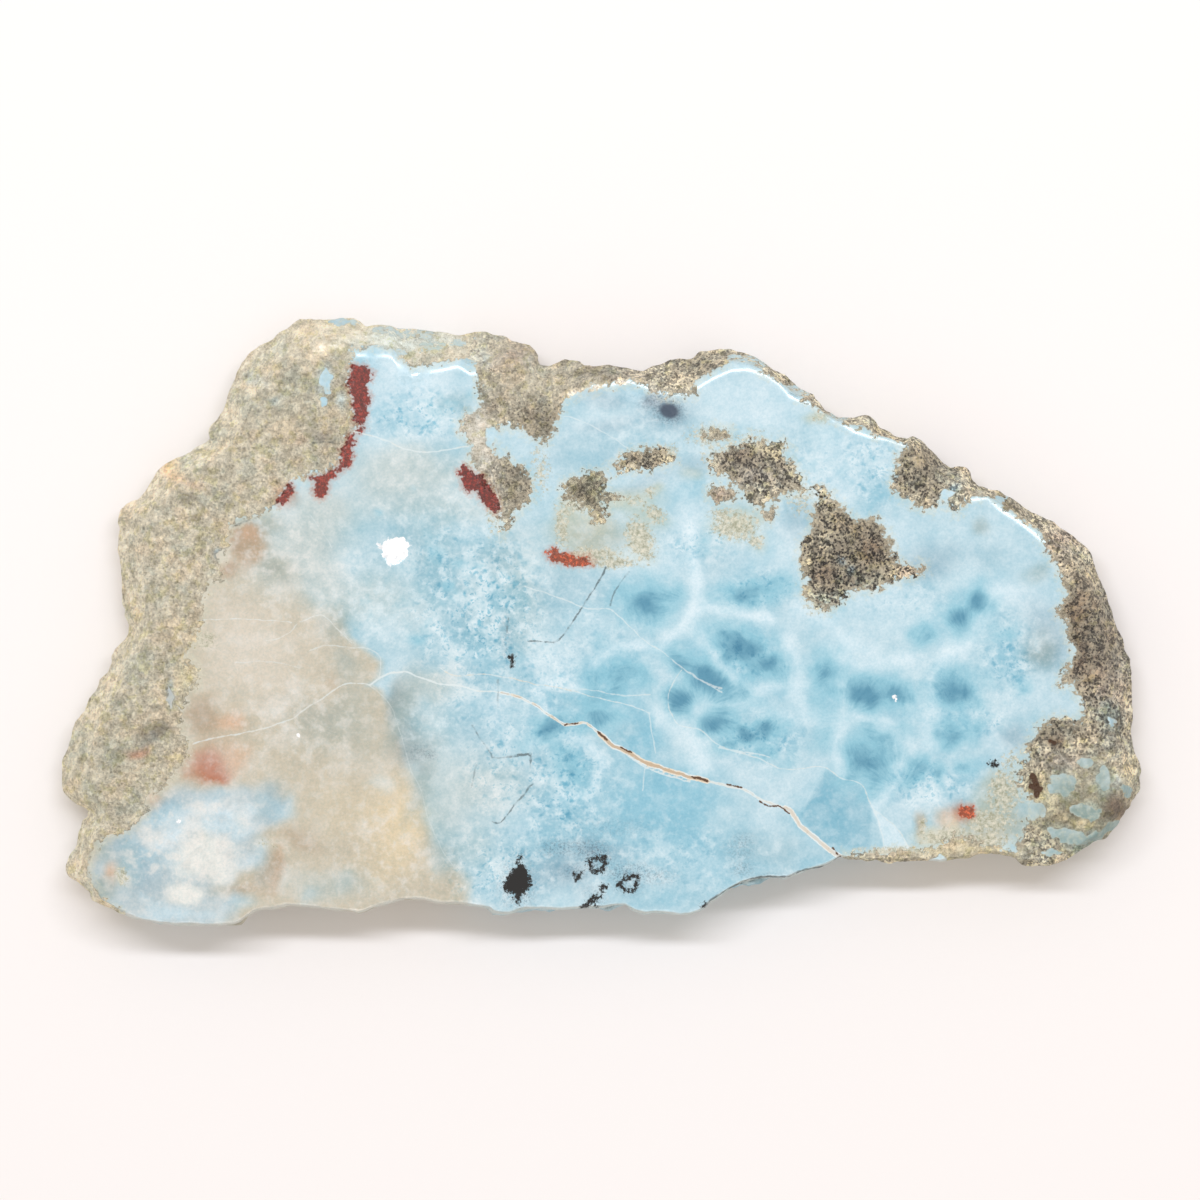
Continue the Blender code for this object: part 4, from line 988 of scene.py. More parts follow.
def stone_mesh():
    """The whole stone: points, faces, how far each point is past the lip in mm, and whether
    it is broken blue stone or sawn."""
    rim, face, heights, insets, outward, natural = stations()
    rings = roughened(wall_rings(rim, face, heights, insets, outward), outward)
    count = len(rim)
    here = np.arange(count)
    after = np.roll(here, -1)
    faces = []
    for ring in range(len(rings) - 1):
        upper, lower = ring * count, (ring + 1) * count
        quads = (here + upper, after + upper, after + lower, here + lower)
        faces += np.column_stack(quads).tolist()
    walls = np.concatenate(rings)
    edge = rings[0][:, :2]
    triangles, places = filled(rings[0], 0, face_places(edge), face_lines(edge), len(walls))
    faces += triangles.tolist()
    top = solid(places, face_height(places))
    first_back = len(walls) + len(top)
    inner, _, _ = lattice(rings[-1][:, :2], BACK_STEP)
    last = (len(rings) - 1) * count
    triangles, places = filled(rings[-1], last, inner, [], first_back, flip=True)
    faces += triangles.tolist()
    back = solid(places, 0)
    points = np.concatenate((walls, top, back))
    low, high = np.array(CAD_LOW) + BOX_MARGIN, np.array(CAD_HIGH) - BOX_MARGIN
    low[2], high[2] = CAD_LOW[2], CAD_HIGH[2]
    outside = np.concatenate(
        (section_lengths(rings).ravel(), np.full(len(top), -3.0), np.full(len(back), 9.0))
    )
    broken = np.concatenate(
        (np.tile(~natural, len(rings)), np.zeros(len(top)), np.ones(len(back)))
    )
    sawn = np.concatenate((np.zeros(first_back), np.ones(len(back))))
    sawn[last : last + count] = 1
    return np.clip(points, low, high), faces, outside, broken.astype(float), sawn


# Washes of tone on the matrix rock, as above
ROCK_WASHES = (
    ("mist", 324, 380, 7, 15, 0, 0.95), ("mist", 342, 400, 8, 10, 0, 0.9),
    ("slate", 170, 695, 5, 18, 5, 0.8), ("slate", 152, 735, 5, 6, 0, 0.8),
    ("slate", 220, 555, 6, 6, 0, 0.9), ("mist", 255, 380, 12, 6, 0, 0.6),
    ("mist", 275, 400, 7, 6, 0, 0.5), ("steel", 948, 492, 14, 6, 30, 0.8),
    ("verdigris", 1092, 758, 9, 12, 0, 0.9), ("mist", 1112, 782, 13, 10, 0, 0.85),
    ("mist", 1040, 815, 12, 8, 0, 0.5), ("mist", 1064, 786, 10, 8, 0, 0.6),
    ("mist", 1080, 830, 16, 8, 0, 0.6),
    ("sand", 390, 346, 80, 14, 0, 0.8), ("pearl", 405, 340, 60, 10, 0, 0.55),
    ("lichen", 400, 346, 60, 12, 0, 0.5), ("pearl", 484, 358, 16, 10, 0, 0.5),
    ("cream", 472, 425, 16, 26, 0, 1.0), ("cream", 482, 460, 20, 34, 20, 0.9),
    ("cream", 494, 510, 10, 26, 0, 0.8), ("rose", 512, 356, 26, 16, 0, 0.6),
    ("sand", 500, 345, 16, 10, 0, 0.7), ("slate", 492, 436, 6, 10, 0, 0.8),
    ("peach", 172, 470, 14, 8, -30, 0.8), ("rust", 284, 490, 12, 5, 0, 0.6),
    ("peach", 192, 484, 14, 6, -20, 0.4), ("peach", 300, 440, 8, 6, 0, 0.4),
    ("clay", 110, 760, 70, 60, 0, 0.5), ("clay", 300, 400, 60, 40, 0, 0.4),
    ("ash", 150, 735, 14, 10, 0, 0.7), ("ash", 322, 437, 14, 8, 0, 0.8),
    # The thin umber wash at (160, 728) is painted shade in a crevice of the rock
    ("umber", 186, 500, 12, 5, 0, 0.6), ("umber", 160, 728, 16, 5, 0, 0.7),
    ("rust", 140, 752, 14, 6, 25, 0.5), ("straw", 205, 640, 16, 12, 0, 0.9),
    ("straw", 186, 675, 12, 20, -20, 0.8), ("straw", 172, 468, 14, 8, -30, 0.6),
    ("ash", 600, 374, 40, 14, 0, 0.6), ("rose", 640, 385, 20, 10, 0, 0.5),
    ("umber", 700, 365, 34, 12, -20, 0.55), ("ash", 720, 360, 20, 12, 0, 0.4),
    ("sand", 865, 425, 16, 8, 20, 0.6), ("ash", 490, 400, 30, 16, 0, 0.5),
    ("umber", 540, 420, 26, 22, 0, 0.75), ("umber", 515, 485, 22, 34, 0, 0.65),
    ("olive", 585, 490, 30, 24, 0, 0.9), ("umber", 582, 494, 22, 16, 0, 0.6),
    ("umber", 642, 460, 26, 10, 0, 0.7), ("straw", 665, 458, 12, 8, 0, 0.6),
    ("ash", 755, 470, 50, 36, 0, 0.9), ("umber", 745, 462, 20, 14, 0, 0.35),
    ("umber", 850, 550, 60, 60, 0, 0.9), ("sage", 822, 600, 16, 10, 0, 0.5),
    ("sand", 826, 540, 14, 18, 0, 0.55), ("bark", 874, 546, 16, 14, 0, 0.6),
    ("bark", 825, 572, 14, 14, 0, 0.6), ("straw", 806, 575, 6, 22, 0, 0.8),
    ("straw", 893, 573, 9, 6, 0, 1.0), ("slate", 842, 560, 6, 5, 0, 0.7),
    ("slate", 852, 572, 5, 6, 0, 0.7), ("slate", 863, 585, 10, 4, 20, 0.5),
    ("rose", 757, 478, 22, 12, 0, 0.7), ("sand", 760, 490, 20, 12, 0, 0.6),
    ("bark", 742, 456, 16, 8, -20, 0.5), ("straw", 775, 450, 14, 10, 0, 0.7),
    ("straw", 600, 520, 12, 10, 0, 0.5), ("rose", 720, 495, 12, 8, 0, 0.8),
    ("rose", 905, 572, 18, 6, 0, 0.6), ("umber", 925, 470, 34, 28, 30, 0.75),
    ("umber", 1000, 505, 40, 16, 35, 0.6), ("rose", 1060, 540, 34, 18, 45, 0.7),
    ("umber", 1078, 630, 18, 60, 0, 0.95), ("rose", 1110, 680, 20, 70, 0, 0.75),
    ("bark", 1085, 640, 24, 60, 0, 0.6), ("umber", 1105, 640, 20, 40, 0, 0.6), ("verdigris", 1110, 718, 14, 16, 0, 0.8),
    ("bark", 1110, 718, 10, 10, 0, 0.4), ("umber", 1070, 725, 26, 8, 0, 0.7),
    ("clay", 1070, 765, 50, 30, 0, 0.8), ("olive", 1080, 815, 60, 30, 0, 0.9),
    ("umber", 1084, 820, 50, 26, 0, 0.35),
    ("verdigris", 1062, 786, 14, 14, 0, 0.9), ("verdigris", 1104, 782, 9, 18, 0, 0.8),
    ("verdigris", 1075, 840, 30, 12, -20, 0.8), ("jade", 1088, 808, 12, 8, 0, 0.6),
    ("rose", 1060, 760, 30, 10, 10, 0.6), ("straw", 1080, 822, 30, 5, -15, 0.6),
    # The darkest washes at the hole near (1036, 786) are painted shade inside it
    ("straw", 1036, 786, 14, 17, 0, 0.9), ("hole_shade", 1036, 786, 8, 10, 0, 1.0),
    ("hole_shade", 1034, 778, 6, 4, 0, 0.8), ("umber", 1045, 733, 20, 12, 0, 0.9),
    ("bark", 1116, 808, 14, 14, -40, 0.8), ("straw", 1040, 800, 14, 30, 0, 0.5),
    ("bark", 1053, 742, 7, 7, 0, 0.8), ("straw", 960, 850, 60, 8, 0, 0.6),
    ("straw", 1130, 770, 10, 20, 0, 0.4), ("clay", 85, 850, 10, 30, 0, 0.5),
)

# Where the rock has hardly any grains: x, y, two radii, turn, strength
SMOOTH_ROCK = (
    (390, 340, 90, 24, 0, 1.0), (515, 355, 40, 16, 0, 0.5), (1085, 800, 60, 60, 0, 0.8),
    (478, 435, 20, 40, 0, 1.0), (520, 385, 50, 24, 0, 0.5), (960, 850, 90, 14, 0, 0.7), (985, 500, 30, 14, 0, 0.3),
)

# Glassy blue-green stone that shows through the rock: x, y, two radii, turn, strength
WINDOWS = (
    (1062, 784, 15, 12, 20, 1.0), (1104, 778, 8, 14, 0, 1.0), (1086, 812, 18, 9, -10, 0.9),
    (1068, 836, 24, 8, -12, 0.9), (1085, 764, 9, 7, 0, 0.8), (1110, 826, 12, 8, 30, 0.6),
    (1040, 812, 10, 8, 0, 0.8), (1095, 838, 14, 6, 25, 0.8), (1050, 852, 14, 5, 0, 0.7),
    (326, 380, 6, 14, 0, 0.9), (322, 402, 5, 6, 0, 0.7), (170, 697, 3, 14, 5, 0.8),
    (220, 556, 4, 5, 0, 0.9), (940, 860, 12, 4, 0, 0.9), (1000, 500, 8, 4, 30, 0.7),
    (338, 322, 12, 4, 0, 0.7), (372, 352, 8, 5, 0, 0.7), (948, 494, 9, 4, 30, 0.8),
    (490, 436, 6, 9, 0, 0.7), (1112, 722, 5, 7, 0, 0.5), (1126, 790, 7, 9, 0, 0.5),
)

# Where the blue stone has small darker mottles, and where black dust lies in it: x, y,
# two radii, turn, strength
MOTTLES = (
    (480, 610, 70, 80, 0, 1.3), (540, 680, 50, 40, 0, 0.7), (470, 700, 40, 40, 0, 0.6),
    (760, 590, 44, 18, 8, 1.0), (745, 655, 40, 26, -25, 0.9), (1010, 655, 30, 46, 0, 0.9),
    (985, 722, 24, 16, 0, 0.9), (930, 785, 46, 22, 0, 1.0), (870, 465, 40, 44, 0, 0.8),
    (705, 545, 44, 22, 0, 0.9), (760, 740, 46, 26, 0, 1.0), (600, 640, 60, 60, 0, 0.4),
    (560, 790, 60, 60, 0, 1.1), (500, 760, 40, 60, 0, 0.9), (500, 870, 60, 40, 0, 1.0), (420, 415, 60, 26, 0, 1.1),
    (440, 560, 50, 50, 0, 0.8), (660, 860, 120, 40, 0, 0.5), (950, 700, 40, 50, 0, 0.4),
    (800, 470, 60, 40, 0, 0.5), (555, 735, 40, 20, 20, 0.8), (910, 600, 60, 24, 0, 0.4),
)
DUST = (
    (558, 848, 20, 9, 0, 0.7), (590, 850, 22, 11, -10, 0.85), (574, 872, 16, 9, 0, 0.5),
    (598, 862, 18, 14, 0, 0.7), (630, 874, 26, 12, 0, 0.8), (628, 884, 16, 12, 0, 0.6),
    (650, 876, 26, 10, 0, 0.5), (740, 850, 16, 14, 0, 0.35), (517, 884, 20, 26, 0, 0.7), (524, 894, 12, 14, 0, 0.6),
    (743, 840, 12, 8, 0, 0.4), (743, 869, 12, 8, 0, 0.55), (596, 898, 16, 10, -40, 0.45),
    (610, 828, 50, 12, 0, 0.22), (668, 410, 18, 14, -20, 0.95), (655, 400, 18, 8, 20, 0.7),
    (669, 411, 13, 10, -20, 1.6), (560, 846, 14, 5, 0, 0.6),
    (430, 755, 8, 5, 0, 0.6), (770, 877, 20, 5, 0, 0.4), (506, 640, 6, 30, 0, 0.35),
    (520, 858, 5, 10, -30, 0.5), (418, 752, 14, 9, 25, 0.4),
)

# Where pale veils cloud the stone, where it is grey rather than blue, and where the worn
# lip has no even shine: x, y, two radii, turn, strength
VEILS = (
    (190, 850, 80, 60, 0, 1.0), (290, 560, 60, 60, 0, 0.6), (300, 720, 70, 60, 0, 0.5),
    (390, 850, 60, 60, 0, 0.5), (360, 600, 60, 60, 0, 0.6), (430, 500, 70, 60, 0, 0.5),
    (500, 790, 50, 40, 0, 0.8), (480, 850, 60, 40, 0, 0.6), (440, 720, 40, 30, 0, 0.6),
    (590, 640, 50, 50, 0, 0.4), (640, 430, 60, 30, 0, 0.4),
)
MISTS = (
    (300, 560, 60, 60, 0, 0.9), (380, 480, 90, 40, 0, 0.6), (430, 680, 50, 30, 0, 0.6),
    (470, 800, 50, 60, 0, 0.6), (330, 500, 50, 30, 0, 0.7),
)
DULL = (
    (345, 352, 8, 10, 0, 0.8), (370, 355, 22, 12, 0, 1.0), (414, 376, 18, 14, 0, 1.0),
    (650, 396, 24, 10, 0, 1.0),
    (300, 366, 12, 12, 0, 0.8),
)

# Where the rock at the top edge is worn smooth and catches the light
GLOSSES = (
    (320, 350, 13, 8, 30, 1.0), (336, 345, 12, 7, 0, 1.0), (362, 358, 14, 6, 0, 0.9),
    (386, 358, 14, 6, 0, 0.9), (572, 394, 12, 6, 20, 1.0), (596, 387, 18, 6, 10, 1.0),
    (624, 382, 18, 6, 5, 1.0), (652, 390, 10, 5, 0, 0.6), (944, 466, 10, 5, 30, 0.4),
)

# Where a thin grainy crust lies in the blue stone: x, y, two radii, turn, strength
CRUSTS = (
    (736, 526, 24, 15, 0, 0.8), (757, 542, 9, 7, 0, 0.7), (722, 514, 14, 7, 0, 0.7),
    (562, 526, 8, 26, 0, 0.7), (590, 556, 32, 9, 5, 0.85), (640, 540, 14, 24, 20, 0.85),
    (655, 514, 13, 9, -30, 0.7), (634, 500, 12, 6, 0, 0.5), (612, 563, 24, 6, 0, 0.8),
    (575, 505, 20, 10, 0, 0.6), (668, 452, 12, 8, 20, 0.6), (735, 448, 40, 14, 20, 0.4),
    (1004, 792, 18, 26, 0, 0.7), (990, 822, 24, 14, 0, 0.75), (1012, 760, 14, 10, 30, 0.5),
    (945, 836, 30, 8, 10, 0.7), (905, 851, 50, 4, 0, 0.8), (984, 840, 30, 8, 0, 0.7),
    (122, 876, 8, 10, 0, 0.6), (206, 640, 12, 10, 0, 0.6), (820, 604, 18, 12, 0, 0.5),
    (703, 435, 20, 12, 0, 0.4), (495, 500, 8, 40, -5, 0.5), (922, 826, 5, 10, 0, 0.7),
    (650, 492, 6, 5, 0, 0.7), (270, 842, 14, 8, 0, 0.3), (820, 418, 9, 6, 0, 0.5),
    (800, 500, 14, 18, 0, 0.4), (540, 470, 12, 30, 0, 0.4),
)

# The slope's own blue stone at the top edge, outside the glint: x, y, two radii
PALE_SLOPES = (
    (344, 323, 20, 5), (384, 330, 14, 5), (412, 334, 26, 8), (432, 346, 16, 6),
    (402, 352, 10, 4), (482, 338, 10, 7), (458, 343, 10, 5), (470, 362, 12, 4),
    (752, 362, 24, 8), (790, 392, 22, 8), (835, 417, 16, 6),
    (733, 358, 8, 5), (972, 492, 10, 5), (655, 362, 6, 3),
)

KEY_PLACE = Vector((0, 0.32, 0.86))
DIFFUSE_GAIN = np.array((1.14, 1.1, 1.07))
OVERHEAD_VEIL = np.array((0.03, 0.03, 0.03))
# Painted light: how much lighter the rock's colour is made on steep walls on the left
PAINTED_WALL_LIGHT = 0.35


def linear(tone):
    """A named tone as linear light."""
    part = np.asarray(tone, float) / 255
    return np.where(part <= 0.04045, part / 12.92, ((part + 0.055) / 1.055) ** 2.4)


def laid(base, tone, weight):
    """A tone laid over others with a weight at each place."""
    return base + (np.array(TONES[tone], float) - base) * weight[:, None]


def wash_weight(seen, x, y, across, along, turn, strength, flatness=1.4):
    """A soft round or oval wash: its strength at each seen place."""
    angle = math.radians(turn)
    right, up = (seen - (x, y)).T * ((1,), (-1,))
    u = (right * math.cos(angle) + up * math.sin(angle)) / across
    v = (up * math.cos(angle) - right * math.sin(angle)) / along
    return strength * np.exp(-1.2 * (u * u + v * v) ** flatness)


def strongest(seen, washes):
    """The strongest of several washes at each seen place."""
    return np.max([wash_weight(seen, *wash) for wash in washes], axis=0)


def wander(seen, size, amount):
    """Seen places moved by smooth noise, so that what is painted on them has uneven edges."""
    flat = solid(seen)
    moved = [noise_at(flat, size, offset) for offset in (11.3, 47.9)]
    return seen + np.column_stack(moved) * amount


def blue_tone(seen, outside):
    """The tone of the blue stone at each seen place, paler along its broken lip: partly the lip's own pale rim, partly
    painted light against the shade of a lip that faces away from the key light.
    """
    strayed = wander(wander(seen, 42, 9), 13, 3.5)
    tone = np.tile(np.array(TONES["sky"], float), (len(seen), 1))
    cloud = noise_at(solid(strayed), 34)
    tone = laid(tone, "ice", smooth(cloud, -0.1, 0.6) * 0.8)
    tone = laid(tone, "blue", smooth(-cloud, 0.1, 0.7) * 0.5)
    for name, soft, strength, outline in FIELDS:
        inside = depth_in(strayed, outline, 40)
        tone = laid(tone, name, strength * smooth(inside, -soft, soft))
    for name, *wash in WASHES:
        if name != "deep":
            tone = laid(tone, name, wash_weight(strayed, *wash))
    for width, strength, line in RIDGES:
        near = distance_to(strayed, refined(line, 8), width * 4) / (1.35 * width)
        tone = laid(tone, "white", min(1, 1.3 * strength) * np.exp(-near * near))
    for name, strength, outline in SHARDS:
        crisp = 1.5 if name in ("blue", "deep") or outline[0][0] > 500 else 4
        inside = depth_in(seen if crisp < 2 else wander(seen, 7, 5), outline)
        tone = laid(tone, name, strength * smooth(inside, -crisp, crisp))
    # Partly the lip's own pale rim and partly painted light: the broken lower lip, facing away from the key light, is
    # painted pale chalk
    return laid(tone, "chalk", 0.8 * smooth(outside, -0.3, 0.2) * smooth(-outside, -2.5, -1.0))


def rock_tone(seen):
    strayed = wander(seen, 20, 6)
    tone = np.tile(np.array(TONES["sand"], float), (len(seen), 1))
    for name, *wash in ROCK_WASHES:
        tone = laid(tone, name, wash_weight(strayed, *wash))
    return tone


def nearest_line(seen, marks):
    """The nearest of several lines: how far past its half width each seen place is in mm,
    and the other facts of that line."""
    best = np.full(len(seen), 3.0)
    facts = [np.zeros(len(seen)) for _ in marks[0][1:-1]]
    for width, *values, line in marks:
        past = distance_to(seen, line, 20) * PIXEL_MM - width
        nearer = past < best
        best = np.where(nearer, past, best)
        for fact, value in zip(facts, values):
            fact[nearer] = value
    return best, facts


def stain_depth(seen):
    best = np.full(len(seen), -3.0)
    bright = np.zeros(len(seen))
    for value, outline in STAINS:
        inside = depth_in(seen, outline, 20) * PIXEL_MM
        bright = np.where(inside > best, value, bright)
        best = np.maximum(best, inside)
    return best, bright


def ink_depth(seen):
    """How deep each seen place is in a black dendrite, in mm."""
    best = np.full(len(seen), -3.0)
    for outline in INK:
        best = np.maximum(best, depth_in(seen, outline, 20) * PIXEL_MM)
    for width, line in INK_LINES:
        best = np.maximum(best, width - distance_to(seen, line, 20) * PIXEL_MM)
    return best


def drawn(marks):
    """Marks with their lines turned into smooth curves."""
    return [(*mark[:-1], curved(mark[-1])) for mark in marks]


def fine_lines():
    """The lines that the face's net follows, so that thin marks stay sharp."""
    lines = [mark[-1] for mark in drawn(VEINS + SHADED_GAPS + CRACKS)]
    return lines + [refined(line) for _, line in INK_LINES]


def add_values(mesh, name, values):
    layer = mesh.attributes.new(name, "FLOAT", "POINT")
    layer.data.foreach_set("value", np.asarray(values, np.float32))


def cell_offsets(seen):
    """The way from the nearest middle of a fan of fibres in mm, and the blue cells' strength."""
    offsets = np.zeros((len(seen), 3))
    strayed = wander(seen, 16, 4)
    for name, *wash in WASHES:
        if name == "deep":
            x, y, across, along, turn, strength = wash
            size = 1.85 if x > 540 else 1.2
            weight = wash_weight(strayed, x, y, across * size, along * size, turn, strength, 0.8)
            offsets[:, 2] = np.maximum(offsets[:, 2], weight)
    ways = (seen[:, None] - np.array(HUBS, float)) * PIXEL_MM * (1, -1)
    nearest = np.argmin(np.linalg.norm(ways, axis=2), axis=1)
    offsets[:, :2] = ways[np.arange(len(seen)), nearest]
    return offsets


def add_tones(mesh, name, tones):
    layer = mesh.attributes.new(name, "FLOAT_COLOR", "POINT")
    colours = np.column_stack((tones, np.ones(len(tones))))
    layer.data.foreach_set("color", colours.astype(np.float32).ravel())


def base_colour(tone):
    """The surface colour that shows as a tone under this light."""
    return np.clip((linear(tone) - OVERHEAD_VEIL) / DIFFUSE_GAIN, 0.003, 0.97)


def mesh_normals(mesh):
    normals = np.empty(len(mesh.vertices) * 3, np.float32)
    mesh.vertex_normals.foreach_get("vector", normals)
    return normals.reshape(-1, 3)


def paint(mesh, points, outside, broken, sawn):
    """Gives the mesh the values that its material reads."""
    seen = pixels_of(points)
    depth, _ = matrix_depth(seen)
    pale = np.zeros(len(seen))
    for x, y, across, along in PALE_SLOPES:
        pale = np.maximum(pale, wash_weight(seen, x, y, across, along, 0, 1))
    skin = np.where(broken > 0.5, -3, np.minimum(outside, 1.2) - 1.4 * smooth(pale, 0.1, 0.6))
    depth = np.maximum(depth, skin)
    window = strongest(wander(seen, 9, 5), WINDOWS)
    depth += (-0.9 - depth) * smooth(window, 0.12, 0.45)
    mottle, dust, veil, dull = (strongest(seen, washes) for washes in (MOTTLES, DUST, VEILS, DULL))
    chip = depth_in(seen, CHIP, 10) * PIXEL_MM
    # Painted highlights: small white spots are added to the chip's mask
    for x, y, radius in PAINTED_GLINTS:
        chip = np.maximum(chip, (radius - np.hypot(*(seen - (x, y)).T)) * PIXEL_MM)
    vein, (vein_strength, vein_warmth) = nearest_line(seen, drawn(VEINS))
    gap_shade, _ = nearest_line(seen, drawn(SHADED_GAPS))
    crack, (crack_strength,) = nearest_line(seen, drawn(CRACKS))
    stain, stain_bright = stain_depth(seen)
    pale_zone = smooth(depth_in(wander(seen, 42, 9), FIELDS[1][3], 40), -18, 18)
    pale_zone = np.maximum(pale_zone, strongest(seen, MISTS))
    add_tones(mesh, "tone", base_colour(blue_tone(seen, np.where(broken > 0.5, outside, -3))))
    # Painted light: the rock's colour is made lighter on steep walls on the left of the stone, standing in for the
    # broad light that keeps those walls bright
    steep = 1 - np.abs(mesh_normals(mesh)[:, 2])
    painted_wall_light = 1 + PAINTED_WALL_LIGHT * smooth(steep, 0.1, 0.8) * smooth(-seen[:, 0], -520, -420)
    add_tones(mesh, "rock_tone", base_colour(rock_tone(seen)) * painted_wall_light[:, None])
    cells = mesh.attributes.new("cell", "FLOAT_VECTOR", "POINT")
    cells.data.foreach_set("vector", cell_offsets(seen).astype(np.float32).ravel())
    for name, values in (
        ("rock", depth), ("vein", vein), ("vein_strength", vein_strength),
        ("vein_warmth", vein_warmth), ("gap_shade", gap_shade), ("crack", crack),
        ("crack_strength", crack_strength), ("stain", stain),
        ("stain_bright", stain_bright), ("ink", ink_depth(seen)),
        ("outside", outside), ("broken", broken), ("sawn", sawn), ("mottle", mottle),
        ("dust", dust), ("chip", chip), ("speck", speck_share(seen, outside)),
        ("pale", pale_zone), ("veil", veil), ("dull", dull),
        ("crust", strongest(seen, CRUSTS)), ("window", window), ("gloss", strongest(wander(seen, 6, 3), GLOSSES)),
    ):
        add_values(mesh, name, values)


class Nodes:
    """Short ways to make and join a material's nodes."""

    def __init__(self, material):
        material.use_nodes = True
        self.tree = material.node_tree
        self.shader = self.tree.nodes["Principled BSDF"]

    def feed(self, socket, value):
        if isinstance(value, bpy.types.NodeSocket):
            self.tree.links.new(value, socket)
        elif value is not None:
            socket.default_value = value

    def node(self, kind, *values, out=0, **settings):
        node = self.tree.nodes.new(kind)
        for name, value in settings.items():
            setattr(node, name, value)
        for socket, value in zip(node.inputs, values):
            self.feed(socket, value)
        return node.outputs[out]

    def math(self, operation, *values, clamp=False):
        return self.node("ShaderNodeMath", *values, operation=operation, use_clamp=clamp)

    def attribute(self, name, out="Fac"):
        return self.node("ShaderNodeAttribute", out=out, attribute_name=name)

    def ramp(self, value, low, high, to_low=0.0, to_high=1.0):
        """A smooth step of a value from low to high."""
        node = self.tree.nodes.new("ShaderNodeMapRange")
        node.interpolation_type = "SMOOTHSTEP"
        for socket, part in zip(node.inputs, (value, low, high, to_low, to_high)):
            self.feed(socket, part)
        return node.outputs[0]

    def noise(self, place, scale, detail=2.0, roughness=0.5, out="Fac", distortion=0.0):
        node = self.tree.nodes.new("ShaderNodeTexNoise")
        self.feed(node.inputs["Vector"], place)
        node.inputs["Scale"].default_value = scale
        node.inputs["Detail"].default_value = detail
        node.inputs["Roughness"].default_value = roughness
        node.inputs["Distortion"].default_value = distortion
        return node.outputs[out]

    def grains(self, place, scale, randomness=1.0, out="Color", feature="F1"):
        node = self.tree.nodes.new("ShaderNodeTexVoronoi")
        node.feature = feature
        self.feed(node.inputs["Vector"], place)
        node.inputs["Scale"].default_value = scale
        node.inputs["Randomness"].default_value = randomness
        return node.outputs[out]

    def mix(self, below, above, amount, blend="MIX"):
        node = self.tree.nodes.new("ShaderNodeMix")
        node.data_type = "RGBA"
        node.blend_type = blend
        self.feed(node.inputs["Factor"], amount)
        self.feed(node.inputs[6], below)
        self.feed(node.inputs[7], above)
        return node.outputs[2]

    def blend(self, below, above, amount):
        """Two numbers mixed."""
        node = self.tree.nodes.new("ShaderNodeMix")
        self.feed(node.inputs["Factor"], amount)
        self.feed(node.inputs[2], below)
        self.feed(node.inputs[3], above)
        return node.outputs[0]

    def bands(self, value, *stops):
        """A colour for each range of a value."""
        node = self.tree.nodes.new("ShaderNodeValToRGB")
        ramp = node.color_ramp
        while len(ramp.elements) < len(stops):
            ramp.elements.new(0.5)
        for element, (place, colour) in zip(ramp.elements, stops):
            element.position = place
            element.color = (*colour, 1)
        self.feed(node.inputs[0], value)
        return node.outputs[0]


